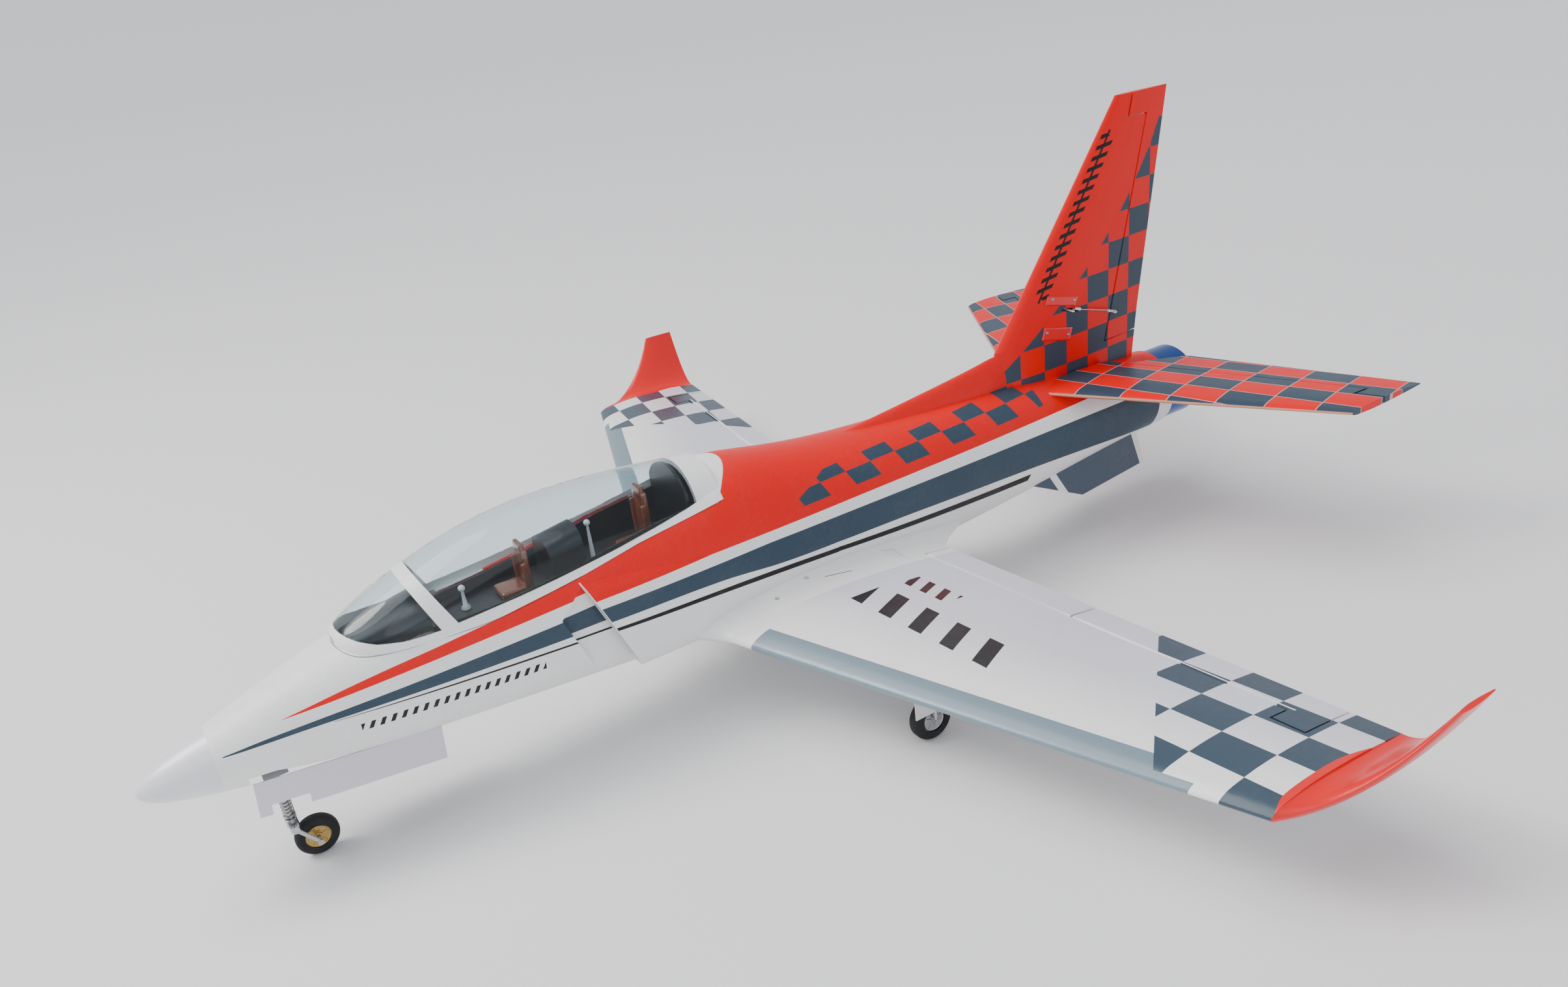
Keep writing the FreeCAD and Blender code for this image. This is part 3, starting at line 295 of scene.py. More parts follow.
# The mouth's raked front edge: its top, its rake and half the width of its white rim
MOUTH_TOP = (446, 222)
MOUTH_RAKE = 0.411
RIM_HALF_WIDTH = 0.8
# Where the red begins and widens, where the slate begins and ends, and where the thin line does
RED_START = 135
RED_WIDENS = 455
SLATE_ENDS = (80, 1322)
THIN_START = 181
THIN_END = 1014
THIN_END_LEAN = 0.45
# The dark joint along the foot of the hatch
CRACK_ENDS = (200, 626)
CRACK_WIDTH = 0.9
# The white patch behind the hatch, with a curved rear end
PATCH_ENDS = (560, 655)
PATCH_LOW = 245
PATCH_SPAN = 57
PATCH_CURVE = 0.0105
# Two rows of checks along the shoulder, ahead of the fin
SHOULDER_ENDS = (677, 1112)
SHOULDER_ROWS = (215.2, 231.8, 242.3)
SHOULDER_CHECK = 38
SHOULDER_ORIGIN = (715, 232)
SHOULDER_LEAN = 0.5
SHOULDER_RISE = 0.38
SHOULDER_RISE_START = (684, 212)


def fuselage_paint():
    """White foam with red, slate and black bands that run aft from the nose, and checks aft."""
    paint = Paint("white_foam", WHITE, Roughness=0.42, Specular_IOR_Level=0.3)
    station, height, span = paint.station, paint.height, paint.span
    aft = (station > MOUTH_END) | ((span > BULGE_SPAN) & (station > BULGE_START))

    def edge(front, rear):
        ahead, behind = station.line(front), station.line(rear)
        return ahead + (behind - ahead) * aft

    seam = station.line(SEAM)
    red_top = (height < station.line(RED_TOP)) | (station > RED_WIDENS)
    paint.layer(RED, red_top & (height > edge(RED_FOOT, RED_FOOT_AFT)) & (station > RED_START))
    patch_end = span * span * -PATCH_CURVE + PATCH_ENDS[1]
    patch = (station < patch_end) & (height > PATCH_LOW) & (span < PATCH_SPAN) & (station > PATCH_ENDS[0])
    paint.layer(WHITE, patch)
    crack = (height > seam - CRACK_WIDTH) & (height < seam) & station.within(*CRACK_ENDS)
    paint.layer(INK, crack * 0.7)
    slate = (height < edge(SLATE_TOP, SLATE_TOP_AFT)) & (height > edge(SLATE_FOOT, SLATE_FOOT_AFT))
    paint.layer(SLATE, slate & station.within(*SLATE_ENDS))
    thin = (height < edge(LINE_TOP, LINE_TOP_AFT)) & (height > edge(LINE_FOOT, LINE_FOOT_AFT))
    paint.layer(INK, thin & (station > THIN_START) & (station < height * THIN_END_LEAN + THIN_END))
    rise = height - station.line(NOSE_STROKES)
    paint.layer(INK, dashes(station, rise, start=203, end=392, low=-4.2, high=4.2, pitch=10.5))
    low, middle, high = SHOULDER_ROWS
    lean = station + (height - SHOULDER_ORIGIN[1]) * SHOULDER_LEAN
    column = ((lean - SHOULDER_ORIGIN[0]) / SHOULDER_CHECK).floor()
    chequer = (column + (height < middle)).odd()
    below = height < (station - SHOULDER_RISE_START[0]) * SHOULDER_RISE + SHOULDER_RISE_START[1]
    paint.layer(SLATE, height.within(low, high) & chequer & below & station.within(*SHOULDER_ENDS))
    mouth_edge = station - MOUTH_TOP[0] - (MOUTH_TOP[1] - height) * MOUTH_RAKE
    mouth_rim = mouth_edge.math("ABSOLUTE") < RIM_HALF_WIDTH
    paint.layer(WHITE, mouth_rim & (span > 59) & height.within(98, 223))
    foam(paint)
    paint.mottle(0.25)
    paint.roughen(0.32, 0.5)
    paint.wear("fuselage_front", "fuselage_rear")


def white_parts():
    """The canopy frame in white foam, and the smooth moulded nose cone."""
    paint = Paint("white_foam_hatch", WHITE, Roughness=0.4, Coat_Weight=0.25, Coat_Roughness=0.25)
    foam(paint, 0.12)
    paint.mottle(0.2)
    paint.wear("canopy_frame")
    paint = Paint("nose_plastic", PLASTIC_WHITE, Roughness=0.3, Coat_Weight=0.4, Coat_Roughness=0.15)
    paint.emboss(paint.noise(9, 3.0), 0.15)
    paint.emboss(paint.noise(0.8, 2.0), 0.03)
    paint.mottle(0.25, 30)
    paint.wear("nose_cone")


# Where the tip's red begins on the wing: station, span
TIP_EDGE = [(775, 658), (808, 648), (855, 648), (930, 660), (952, 668)]
WING_CHECK = (51.2, 42.3)
WING_CHECK_START = (461, 788)
WING_CHECK_SWEEP = 0.158
WING_CHECK_PIVOT = 563
# The checks lie outboard of a slanted line: its slope and its place
OUTBOARD_SLOPE = 0.86
OUTBOARD_FROM = 1202.5
# The leading edge: how fast it sweeps back, and its station at the middle
WING_SWEEP = 0.350
WING_NOSE = 549.2
UPPER_SIDE = 112
# Painted shade over a pearl finish: the wing's top stays white near the leading edge, where the light
# falls brightest, and darkens into the pearl over this length, from this far behind the leading edge
PAINTED_SHADE_START = 40
PAINTED_SHADE_LENGTH = 90
PEARL_SHADES = ((0.52, 0.53, 0.62, 1), (0.84, 0.84, 0.88, 1))
EDGE_SLATE = (0.17, 0.24, 0.28)
DARK_RED = (0.05, 0.008, 0.008)
# Painted highlight: a bright line for the lit edge of the flaps' hinge gap
HINGE_HIGHLIGHT_WHITE = (0.95, 0.95, 0.95)
# The stripe's width along the leading edge, inboard and over the checks
STRIPE_WIDTH = 26
STRIPE_WIDTH_OUTBOARD = 8


def wing_paint():
    """Pearl white wing with a slate leading edge, slate checks outboard and plain bars inboard."""
    paint = Paint("pearl_foam", WHITE, Roughness=0.36, Coat_Weight=0.35, Coat_Roughness=0.2)
    station, height, span = paint.station, paint.height, paint.span
    nose = span * WING_SWEEP + WING_NOSE
    upper = height > UPPER_SIDE
    sparkle = paint.noise(0.7, 1.0)
    silver = paint.add("ShaderNodeMix", data_type="RGBA")
    paint.feed(silver.inputs["Factor"], sparkle)
    silver.inputs["A"].default_value = PEARL_SHADES[0]
    silver.inputs["B"].default_value = PEARL_SHADES[1]
    # Painted light: white near the leading edge, darkening into pearl further aft; only the fine sparkle
    # belongs to the finish
    fade = (station - nose - PAINTED_SHADE_START) / PAINTED_SHADE_LENGTH
    pearl_and_painted_shade = fade.math("MAXIMUM", 0.0).math("MINIMUM", 1.0) * (span > 120) * upper
    paint.layer(silver.outputs["Result"], pearl_and_painted_shade)
    outboard = (span + station * OUTBOARD_SLOPE) > OUTBOARD_FROM
    column = ((span - WING_CHECK_START[0]) / WING_CHECK[0]).floor()
    swept = station - (span - WING_CHECK_PIVOT) * WING_CHECK_SWEEP
    row = ((swept - WING_CHECK_START[1]) / WING_CHECK[1]).floor()
    paint.layer(SLATE, outboard & ~(column + row).odd() & upper)
    stripe = (station < nose + STRIPE_WIDTH) & span.within(134, 590)
    stripe = stripe & ~(outboard & (station > nose + STRIPE_WIDTH_OUTBOARD)) & (height > 104)
    paint.layer(EDGE_SLATE, stripe)
    bar_line = station - span * 0.105
    bars = dashes(span, bar_line, start=150, end=356, low=704, high=748, pitch=46, lean=-0.45)
    paint.layer(INK, bars & upper)
    small_bars = dashes(span, bar_line, start=156, end=226, low=770, high=795, pitch=24, lean=-0.45)
    paint.layer(DARK_RED, small_bars & upper)
    # Painted highlight: the lit edge of the hinge gap, drawn as a bright white line
    hinge = station - (span - 114) * 0.1137 - 857
    paint.layer(HINGE_HIGHLIGHT_WHITE, (hinge.math("ABSOLUTE") < 0.9) & span.within(112, 580) & upper)
    slot = (span - 91.6 - (station - 725) * 0.188).math("ABSOLUTE") < 0.6
    paint.layer(INK, slot & station.within(725, 759) & upper)
    tip_edge = station.line(TIP_EDGE, PLAN_REACH)
    paint.layer(RED, (span > tip_edge) & (station > 765))
    paint.layer(WHITE, (height < 106) & (station > 880))
    foam(paint, 0.07)
    paint.mottle(0.2)
    paint.roughen(0.28, 0.45)
    surfaces = ["flap_left", "flap_right", "aileron_left", "aileron_right"]
    paint.wear("wing_left", "wing_right", *surfaces)


FIN_CHECK = (40.6, 36.3)
FIN_CHECK_START = (1147, 244)
FIN_CUT = [(1040, 236), (1150, 308), (1255, 390), (1345, 497), (1362, 527)]
# The direction in which the fin's row of strokes climbs: how far aft and how far up
FIN_CLIMB = (0.561, 0.828)


def fin_paint():
    """Red fin and rudder with slate checks at the lower rear and a plain row of strokes."""
    paint = Paint("red_foam_fin", RED, Roughness=0.4, Specular_IOR_Level=0.25)
    station, height = paint.station, paint.height
    column = ((station - FIN_CHECK_START[0]) / FIN_CHECK[0]).floor()
    row = ((height - FIN_CHECK_START[1]) / FIN_CHECK[1]).floor()
    paint.layer(SLATE, ~(column + row).odd() & (height < station.line(FIN_CUT)))
    aft, up = FIN_CLIMB
    along = station * aft + height * up
    across = station * up - height * aft
    strokes = dashes(along, across, start=926, end=1150, low=746, high=766, pitch=15, lean=0.9)
    spine = across.within(753.5, 756.5) & along.within(920, 1156)
    paint.layer(INK, strokes | spine)
    paint.layer(WHITE, (paint.span > 11) & (station > 1200))
    foam(paint, 0.07)
    paint.mottle(0.3, 50, (0.25, 0.0, 0.0))
    paint.roughen(0.26, 0.42)
    paint.wear("fin", "rudder")


STAB_CHECK = (56, 40)
STAB_CHECK_START = (44, 1156.5)
# How far the check's columns slant and its rows sweep back
STAB_SLANT = 0.22
STAB_ROW_SWEEP = 0.395
# The leading edge: how fast it sweeps back, and its station at the middle
STAB_SWEEP = 0.5955
STAB_NOSE = 1110.5
# A paler band along the leading edge
PALE_LEADING_EDGE = (0.55, 0.25, 0.16)


def stabilizer_paint():
    """Red stabilizer and elevator with slate checks, each outlined by a thin pale line."""
    paint = Paint("red_foam_tail", RED, Roughness=0.4, Specular_IOR_Level=0.25)
    station, span = paint.station, paint.span
    column = (span + (station - 1230) * STAB_SLANT - STAB_CHECK_START[0]) / STAB_CHECK[0]
    row = (station - span * STAB_ROW_SWEEP - STAB_CHECK_START[1]) / STAB_CHECK[1]
    paint.layer(SLATE, (column.floor() + row.floor()).odd())
    outline = (column.repeat(1.0) < 0.022) | (row.repeat(1.0) < 0.03)
    paint.layer(PALE_EDGE, outline)
    nose = span * STAB_SWEEP + STAB_NOSE
    # A paler band, 2.2 mm deep, along the leading edge
    paint.layer(PALE_LEADING_EDGE, (station < nose + 2.2))
    paint.layer(WHITE, (paint.height < 214) & (station > 1240))
    foam(paint, 0.07)
    paint.mottle(0.3, 50, (0.25, 0.02, 0.02))
    paint.roughen(0.26, 0.42)
    names = [part + side for part in ("stabilizer_", "elevator_") for side in SIDES]
    paint.wear(*names)


def red_tips():
    paint = Paint("red_foam", RED, Roughness=0.3, Coat_Weight=0.2, Coat_Roughness=0.12)
    paint.emboss(paint.noise(14, 3.0), 0.25)
    paint.emboss(paint.noise(1.0, 2.0), 0.02)
    paint.mottle(0.3, 50, (0.3, 0.0, 0.0))
    paint.wear("winglets")


def ventral_paint():
    """Slate panels with a white rim and one white slash."""
    paint = Paint("slate_foam", DEEP_SLATE, Roughness=0.3, Coat_Weight=0.4)
    station, height = paint.station, paint.height
    paint.layer(WHITE, (station + height * 0.5).within(1178, 1190))
    paint.layer(WHITE, (height < station * 0.083 - 31.5) | (station > 1300 - height * 0.15))
    paint.emboss(paint.noise(1.0, 2.0), 0.05)
    paint.mottle(0.2)
    paint.wear("ventral_fins")


# ---------------------------------------------------------------- plain finishes


def finish(name, colour, *parts, grain=1.0, depth=0.03, worn=0.3, patch=20, **settings):
    """A moulded, turned or wrapped finish with fine grain and slightly uneven colour and gloss."""
    paint = Paint(name, colour, **settings)
    paint.emboss(paint.noise(grain, 3.0), depth)
    base = settings.get("Roughness", 0.5)
    paint.mottle(worn, patch, tuple(0.5 * c for c in colour))
    paint.roughen(base * 0.75, base * 1.3, patch)
    return paint.wear(*parts) if parts else paint.done()


LINKED = ["rudder", "elevator_left", "elevator_right", "aileron_left", "aileron_right"]


def plain_finishes():
    arms = [name + "_servo_arm" for name in LINKED]
    rods = [name + "_pushrod" for name in LINKED]
    dark = ["cockpit_tub", "instrument_hoods", "fan_housing", "inlet_duct"]
    finish("black_plastic", (0.012, 0.012, 0.016), *dark, Roughness=0.32)
    finish("brown_plastic", SEAT_BROWN, "seats", Roughness=0.16, Coat_Weight=0.6, depth=0.05)
    finish("white_plastic", PLASTIC_WHITE, "control_sticks", *arms, Roughness=0.3, depth=0.02)
    finish("fan_plastic", (0.02, 0.02, 0.022), "fan_rotor", Roughness=0.35)
    finish("motor_metal", (0.55, 0.55, 0.58), "fan_motor", Roughness=0.3, Metallic=1.0)
    # Painted reflection: the nozzle is coloured sky blue for the sky it mirrors
    finish("nozzle_blue", NOZZLE_SKY_REFLECTION_BLUE, "exhaust_nozzle", Roughness=0.22, Metallic=0.8, depth=0.02)
    finish("carbon", (0.015, 0.015, 0.017), "wing_spar", Roughness=0.3)
    finish("battery_wrap", (0.02, 0.05, 0.22), "battery",
           Roughness=0.3, Coat_Weight=0.5, grain=6, depth=0.2)
    finish("electronics", (0.025, 0.025, 0.03), "speed_controller", "receiver", "servos", Roughness=0.35)
    finish("retract_metal", (0.25, 0.26, 0.28), "retract_units", Roughness=0.4, Metallic=1.0)
    finish("screw_steel", (0.6, 0.58, 0.55), "screws", Roughness=0.25, Metallic=1.0)
    finish("wire_steel", BARE_METAL, *rods, Roughness=0.25, Metallic=1.0)
    struts = ["nose_strut", "nose_fork", "nose_link", "main_strut_left", "main_strut_right"]
    finish("strut_metal", (0.52, 0.52, 0.54), *struts, Roughness=0.28, Metallic=1.0)
    finish("hub_brass", BRASS, "nose_wheel_hub", Roughness=0.3, Metallic=1.0)
    hubs = ["main_wheel_hub_left", "main_wheel_hub_right"]
    finish("hub_metal", BARE_METAL, *hubs, Roughness=0.3, Metallic=1.0)
    tyres = ["nose_tyre", "main_tyre_left", "main_tyre_right"]
    finish("tyre_rubber", (0.010, 0.010, 0.011), *tyres, Roughness=0.75, grain=1.6, depth=0.12, worn=0.5)
    doors = ["nose_door_left", "nose_door_right", "main_door_left", "main_door_right"]
    finish("door_white", (0.72, 0.70, 0.76), *doors,
           Roughness=0.28, Coat_Weight=0.4, grain=12, depth=0.12)
    finish("canopy_clear", (0.86, 0.95, 0.97), "canopy_glass",
           Roughness=0.03, Transmission_Weight=1.0, IOR=1.3, grain=40, depth=0.1, worn=0.0)


# ---------------------------------------------------------------- pieces

COCKPIT_FLOOR = 208.2
# The height of the nozzle's centre line, and the station and radius of the middle of its rolled lip
DUCT_HEIGHT = 160
LIP_STATION = 1397.6
LIP_RADIUS = 47.6
# The nose leg's station, and the levels between which its spring sits
NOSE_LEG_STATION = 118
SPRING_LEVELS = (58.0, 82.0)
COLLAR_LEVELS = (56.2, 82.6)


def around_circle(count):
    """The angles of evenly spaced places round a circle."""
    return [2 * math.pi * step / count for step in range(count)]


def bridge(work, first, second):
    """Joins two closed rings of the same number of vertices with a band of faces."""
    count = len(first)
    for step in range(count):
        following = (step + 1) % count
        work.faces.new((first[step], first[following], second[following], second[step]))


def solid(name, mesh_edit, material, body):
    """Makes a named mesh piece with bmesh, dressed, riding on a body and using a slot's finish."""
    mesh = bpy.data.meshes.new(name)
    work = bmesh.new()
    mesh_edit(work)
    bmesh.ops.recalc_face_normals(work, faces=work.faces)
    work.to_mesh(mesh)
    work.free()
    mesh.materials.append(material)
    mesh.shade_smooth()
    item = bpy.data.objects.new(name, mesh)
    bpy.context.scene.collection.objects.link(item)
    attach(item, body)
    return item


def lathe(work, base, axis, profile, around=28):
    """A turned shape: (distance along the axis, radius) places in millimetres, revolved."""
    axis = Vector(axis).normalized()
    side = axis.orthogonal().normalized()
    other = axis.cross(side)
    rings = []
    for travel, radius in profile:
        ring = []
        for angle in around_circle(around):
            out = side * math.cos(angle) + other * math.sin(angle)
            ring.append(work.verts.new(base + axis * travel * MM + out * max(radius, 0.01) * MM))
        rings.append(ring)
    for first, second in zip(rings, rings[1:]):
        bridge(work, first, second)
    work.faces.new(rings[0][::-1])
    work.faces.new(rings[-1])


def cushion(work, low, high, rounding):
    """A box between two corners with its edges rounded."""
    middle = (low + high) / 2
    extent = high - low
    placed = Matrix.Translation(middle) @ Matrix.Diagonal((*extent, 1))
    made = bmesh.ops.create_cube(work, size=1.0, matrix=placed)
    corners = set(made["verts"])
    edges = [edge for edge in work.edges if corners.issuperset(edge.verts)]
    bmesh.ops.bevel(work, geom=edges, offset=rounding * MM, segments=4, affect="EDGES", profile=0.5)


def surface_hit(names, start, direction):
    """The first place where a ray meets one of some CAD nodes."""
    hits = []
    for name in names:
        found, place, normal, _ = nodes[name].ray_cast(start, direction)
        if found:
            hits.append(((place - start).length, place, normal))
    return min(hits, key=lambda hit: hit[0])[1:] if hits else None


# How far a sheet's underside reaches into the surface that it follows
SHEET_ROOT = 0.4


def sheet_on(work, names, direction, corners, lift, steps=(14, 8)):
    """A thin sheet that follows the nodes' surface between four (span, station, height) corners."""
    direction = Vector(direction)
    across, down = steps
    first, second, third, fourth = [at(*corner) for corner in corners]
    layers = []
    for raise_by in (lift, -SHEET_ROOT):
        grid = []
        for row in range(down + 1):
            v = row / down
            line = []
            for column in range(across + 1):
                u = column / across
                place = first.lerp(second, u).lerp(fourth.lerp(third, u), v)
                hit = surface_hit(names, place, direction)
                on = hit[0] if hit else place
                line.append(work.verts.new(on - direction * raise_by * MM))
            grid.append(line)
        layers.append(grid)
    for grid in layers:
        for row in range(down):
            for column in range(across):
                work.faces.new((grid[row][column], grid[row][column + 1], grid[row + 1][column + 1],
                                grid[row + 1][column]))
    top, under = layers
    rim = [(0, c) for c in range(across)] + [(r, across) for r in range(down)]
    rim += [(down, c) for c in range(across, 0, -1)] + [(r, 0) for r in range(down, 0, -1)]
    for (r0, c0), (r1, c1) in zip(rim, rim[1:] + rim[:1]):
        work.faces.new((top[r0][c0], top[r1][c1], under[r1][c1], under[r0][c0]))


def screw_head(work, place, normal, radius=2.2):
    """A domed head with a round recess in its top."""
    dome = [(-0.3, radius), (0.25, radius), (0.75, radius * 0.8)]
    recess = [(1.0, radius * 0.45), (0.6, radius * 0.28)]
    lathe(work, place, normal, dome + recess, 20)


def seat_pieces(materials):
    """Two moulded seats: a rounded back with side bolsters, a head pad and a cushion."""
    floor = COCKPIT_FLOOR
    for name, station, top in (("seat_front", 410, 262), ("seat_rear", 554, 279)):

        def shape(work, station=station, top=top):
            cushion(work, at(-16, station - 2.5, floor), at(16, station + 2.5, top - 7), 2.2)
            cushion(work, at(-10.5, station - 3.6, top - 17), at(10.5, station + 2.2, top - 0.3), 2.4)
            cushion(work, at(-15.5, station - 33, floor), at(15.5, station - 3, floor + 8), 3)
            for side in SIDES.values():
                inner, outer = sorted((side * 12.5, side * 16.4))
                cushion(work, at(inner, station - 7, floor + 7), at(outer, station - 1, top - 20), 1.6)

        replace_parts(solid(name, shape, materials["seat"], "canopy"), "seats")


def stick_pieces(materials):
    """Two control sticks: a gaiter, a stem that thins upwards and a ball grip."""
    ball = 3.7
    stem = 1.4
    steps = 11
    for name, station, top in (("stick_front", 341, 236), ("stick_rear", 488, 259)):

        def shape(work, station=station, top=top):
            tall = top - COCKPIT_FLOOR
            profile = [(0, 5.2), (1.2, 5.2), (2.2, 4.0), (3.0, 4.4), (4.2, 2.6), (tall - 8, stem)]
            for step in range(1, steps):
                angle = math.pi * step / steps
                thinnest = stem if step < 3 else 0
                radius = max(ball * math.sin(angle), thinnest)
                profile.append((tall - ball - ball * math.cos(angle), radius))
            lathe(work, at(0, station, COCKPIT_FLOOR), (0, 0, 1), profile, 24)

        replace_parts(solid(name, shape, materials["white"], "canopy"), "control_sticks")


def nozzle_lip(materials):
    """A rolled rim on the nozzle's rear edge."""
    def shape(work):
        rings = []
        for step in range(9):
            angle = math.pi * step / 8
            station = LIP_STATION + 1.4 * math.sin(angle)
            radius = LIP_RADIUS + 1.3 * math.cos(angle)
            ring = []
            for turn in around_circle(64):
                height = DUCT_HEIGHT + radius * math.sin(turn)
                ring.append(work.verts.new(at(radius * math.cos(turn), station, height)))
            rings.append(ring)
        for first, second in zip(rings, rings[1:] + rings[:1]):
            bridge(work, first, second)

    # Painted reflection: the lip carries the same sky blue as the nozzle
    solid("nozzle_lip", shape, materials["painted_sky_reflection"], "airframe")


def wheel_faces(materials):
    """A turned cap and five spokes on each side of every hub."""
    wheels = (("nose_wheel", (0, 136.5, 22.5), 12, 12.4, 1.1, "brass", "hub_brass"),
              ("main_wheel_left", (263, 734, 25), 13, 13.4, 0.8, "metal", "hub_metal"),
              ("main_wheel_right", (-263, 734, 25), 13, 13.4, 0.8, "metal", "hub_metal"))
    for body, centre, width, radius, rise, look, slot in wheels:
        cap = [(-0.2, 4.2), (rise - 0.2, 4.0), (rise, 3.4), (rise, 1.7), (-0.2, 1.7)]
        rim = [(-0.2, radius), (0.7, radius - 0.3), (0.7, radius - 1.6), (-0.2, radius - 2)]
        spoke_foot = Vector((0, -0.0012, 0.0035))
        spoke_end = Vector((0.0009, 0.0012, (radius - 1.5) * MM))

        def shape(work, centre=centre, width=width, cap=cap, rim=rim, low=spoke_foot, high=spoke_end):
            for face in (-1, 1):
                base = at(centre[0] + face * width / 2, centre[1], centre[2])
                mirror = Matrix.Diagonal((face, 1, 1, 1))
                lathe(work, base, (face, 0, 0), rim, 40)
                lathe(work, base, (face, 0, 0), cap)
                for angle in around_circle(5):
                    before = set(work.verts)
                    cushion(work, low, high, 0.35)
                    fresh = [vert for vert in work.verts if vert not in before]
                    placed = Matrix.Translation(base) @ Matrix.Rotation(angle, 4, "X") @ mirror
                    bmesh.ops.transform(work, matrix=placed, verts=fresh)

        solid(body + "_face", shape, materials[look], body)


def nose_leg_spring(materials):
    """A coil spring and two collars round the nose leg."""
    turns, steps = 6, 150
    radius, wire = 5.3, 0.65
    low, high = SPRING_LEVELS
    collar = [(0, 4.2), (0.2, 6.2), (1.2, 6.4), (1.6, 5.9), (1.6, 4.2)]

    def shape(work):
        rings = []
        for step in range(steps + 1):
            angle = 2 * math.pi * turns * step / steps
            level = low + (high - low) * step / steps
            out = Vector((math.cos(angle), math.sin(angle), 0))
            ring = []
            for lean in around_circle(10):
                offset = out * (radius + wire * math.cos(lean)) + Vector((0, 0, wire * math.sin(lean)))
                place = at(offset.x, NOSE_LEG_STATION + offset.y, level + offset.z)
                ring.append(work.verts.new(place))
            rings.append(ring)
        for first, second in zip(rings, rings[1:]):
            bridge(work, first, second)
        for level in COLLAR_LEVELS:
            lathe(work, at(0, NOSE_LEG_STATION, level), (0, 0, 1), collar)

    solid("nose_leg_spring", shape, materials["steel"], "nose_leg")


def clevises(materials):
    """A nylon sleeve with a nut near each end of every pushrod."""
    profile = [(0, 1.05), (0.4, 1.7), (6, 1.7), (6.4, 2.1), (8.4, 2.1), (8.8, 1.05)]
    setback = 6 * MM
    for name in LINKED:
        rod = nodes[name + "_pushrod"]
        places = [vert.co.copy() for vert in rod.data.vertices]
        middle = sum(places, Vector()) / len(places)
        head = max(places, key=lambda place: (place - middle).length)
        foot = max(places, key=lambda place: (place - head).length)
        along = (foot - head).normalized()

        def shape(work, head=head, foot=foot, along=along):
            lathe(work, head + along * setback, along, profile, 8)
            lathe(work, foot - along * setback, -along, profile, 8)

        solid(name + "_clevises", shape, materials["white"], name + "_pushrod")


def fin_fittings(materials):
    """The servo's cover on the fin's port side, in two strips with the arm's slot between them."""
    inwards = Vector((-1, 0, 0))
    outside = 60
    lift = 0.9
    covers = {
        "upper": [(1156, 344), (1209, 331), (1204, 320), (1151, 333)],
        "lower": [(1148, 304), (1198, 292), (1193, 275), (1142, 288)],
    }
    for name, outline in covers.items():
        corners = [(outside, station, height) for station, height in outline]

        def shape(work, corners=corners):
            sheet_on(work, ["fin"], inwards, corners, lift)

        solid("fin_cover_" + name, shape, materials["red"], "airframe")

    def heads(work):
        for station, height in ((1164, 338), (1202, 328), (1152, 296), (1190, 284)):
            place, normal = surface_hit(["fin"], at(outside, station, height), inwards)
            screw_head(work, place - inwards * lift * MM, normal)

    solid("fin_cover_screws", heads, materials["steel"], "airframe")


def wing_root_plates(materials):
    """A thin white plate on the upper side of each wing, beside the fuselage."""
    above_wing = 200
    outline = [(80, 812), (96, 814), (104, 832), (82, 830)]
    for name, side in SIDES.items():
        corners = [(span * side, station, above_wing) for span, station in outline]

        def shape(work, name=name, corners=corners):
            sheet_on(work, ["wing_" + name], (0, 0, -1), corners, 0.7, (10, 8))

        solid("root_plate_" + name, shape, materials["white"], "airframe")


def detail_pieces():
    materials = {
        "seat": finish("brown_seat", SEAT_BROWN, Roughness=0.16, Coat_Weight=0.6, depth=0.05),
        "white": finish("white_fitting", PLASTIC_WHITE, Roughness=0.3, depth=0.02),
        # Painted reflection: sky blue for the nozzle lip
        "painted_sky_reflection": finish("nozzle_lip_painted_sky_reflection", NOZZLE_SKY_REFLECTION_BLUE, Roughness=0.2, Metallic=0.8, depth=0.02),
        "brass": finish("hub_face_brass", BRASS, Roughness=0.28, Metallic=1.0),
        "metal": finish("hub_face_metal", BARE_METAL, Roughness=0.28, Metallic=1.0),
        "steel": finish("fitting_steel", (0.42, 0.41, 0.40), Roughness=0.25, Metallic=1.0),
        "red": finish("cover_red", RED, Roughness=0.3, Coat_Weight=0.4, depth=0.04),
    }
    seat_pieces(materials)
    stick_pieces(materials)
    nozzle_lip(materials)
    wheel_faces(materials)
    nose_leg_spring(materials)
    clevises(materials)
    fin_fittings(materials)
    wing_root_plates(materials)


# ---------------------------------------------------------------- camera, light and floor


LENS = 27.74
CAMERA_PLACE = (1.1361, -0.6335, 0.813)
# Degrees: the turn about the vertical, the height above the horizon, and the roll
AZIMUTH = 60.41
ELEVATION = 25.0
ROLL = -7.01


def camera():
    """Looks down from ahead of the port wing, turned a little about its own axis."""
    data = bpy.data.cameras.new("camera")
    data.lens = LENS
    data.clip_start = 0.05
    eye = bpy.data.objects.new("camera", data)
    azimuth, elevation, roll = (math.radians(angle) for angle in (AZIMUTH, ELEVATION, ROLL))
    turn = Matrix.Rotation(azimuth, 4, "Z") @ Matrix.Rotation(math.pi / 2 - elevation, 4, "X")
    turn = turn @ Matrix.Rotation(roll, 4, "Z")
    eye.matrix_world = Matrix.Translation(CAMERA_PLACE) @ turn
    bpy.context.scene.collection.objects.link(eye)
    bpy.context.scene.camera = eye


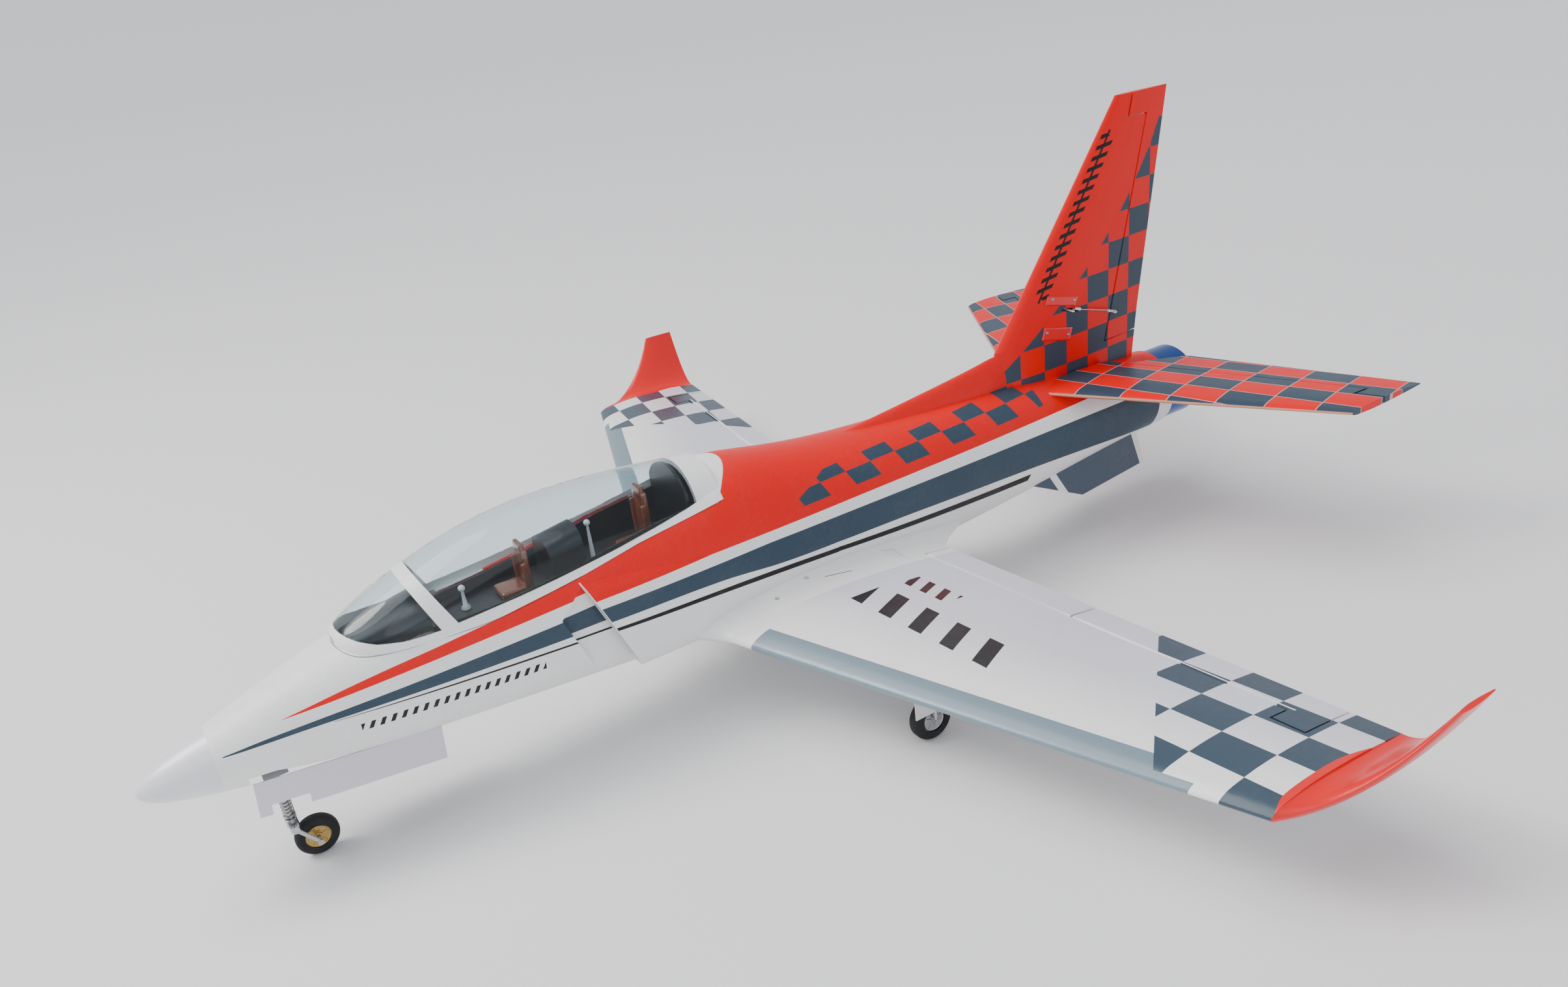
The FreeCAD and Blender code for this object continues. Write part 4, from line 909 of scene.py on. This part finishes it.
def area_light(name, place, target, size, power, colour):
    data = bpy.data.lights.new(name, "AREA")
    data.shape = "DISK"
    data.size = size
    data.energy = power
    data.color = colour
    lamp = bpy.data.objects.new(name, data)
    lamp.location = place
    lamp.rotation_euler = (Vector(target) - Vector(place)).to_track_quat("-Z", "Y").to_euler()
    bpy.context.scene.collection.objects.link(lamp)


def studio():
    """A plain pale floor that sweeps up behind, a high key, a cool fill and an even soft sun."""
    mesh = bpy.data.meshes.new("floor")
    near, far, bend, half_width, steps = -20, 10, 8, 50, 24
    profile = [(near, 0.0)]
    for step in range(steps + 1):
        angle = math.pi / 2 * step / steps
        profile.append((far + bend * math.sin(angle), bend * (1 - math.cos(angle))))
    profile.append((far + bend, 40.0))
    corners = [(across, depth, level) for depth, level in profile for across in (-half_width, half_width)]
    strips = [(2 * row, 2 * row + 1, 2 * row + 3, 2 * row + 2) for row in range(len(profile) - 1)]
    mesh.from_pydata(corners, [], strips)
    mesh.transform(Matrix.Rotation(math.radians(AZIMUTH), 4, "Z"))
    mesh.shade_smooth()
    floor = bpy.data.objects.new("floor", mesh)
    bpy.context.scene.collection.objects.link(floor)
    paint = Paint("floor_paper", (0.80, 0.80, 0.80), Roughness=0.8)
    paint.emboss(paint.noise(4, 3.0), 0.05)
    mesh.materials.append(paint.done())
    area_light("key", (-0.9, -2.2, 2.6), (0, 0, 0.15), 1.2, 55, (1, 0.97, 0.93))
    area_light("fill", (2.6, -0.6, 1.6), (0, 0, 0.1), 2.4, 14, (0.93, 0.95, 1))
    data = bpy.data.lights.new("overhead", "SUN")
    data.energy = 2.0
    data.angle = math.radians(50)
    sun = bpy.data.objects.new("overhead", data)
    sun.rotation_euler = (math.radians(24), math.radians(-14), 0)
    bpy.context.scene.collection.objects.link(sun)
    world = bpy.data.worlds.new("studio")
    world.use_nodes = True
    world.node_tree.nodes["Background"].inputs["Color"].default_value = (0.9, 0.93, 1.0, 1)
    world.node_tree.nodes["Background"].inputs["Strength"].default_value = 0.75
    bpy.context.scene.world = world


camera()
studio()
fuselage_paint()
white_parts()
wing_paint()
fin_paint()
stabilizer_paint()
red_tips()
ventral_paint()
plain_finishes()
detail_pieces()
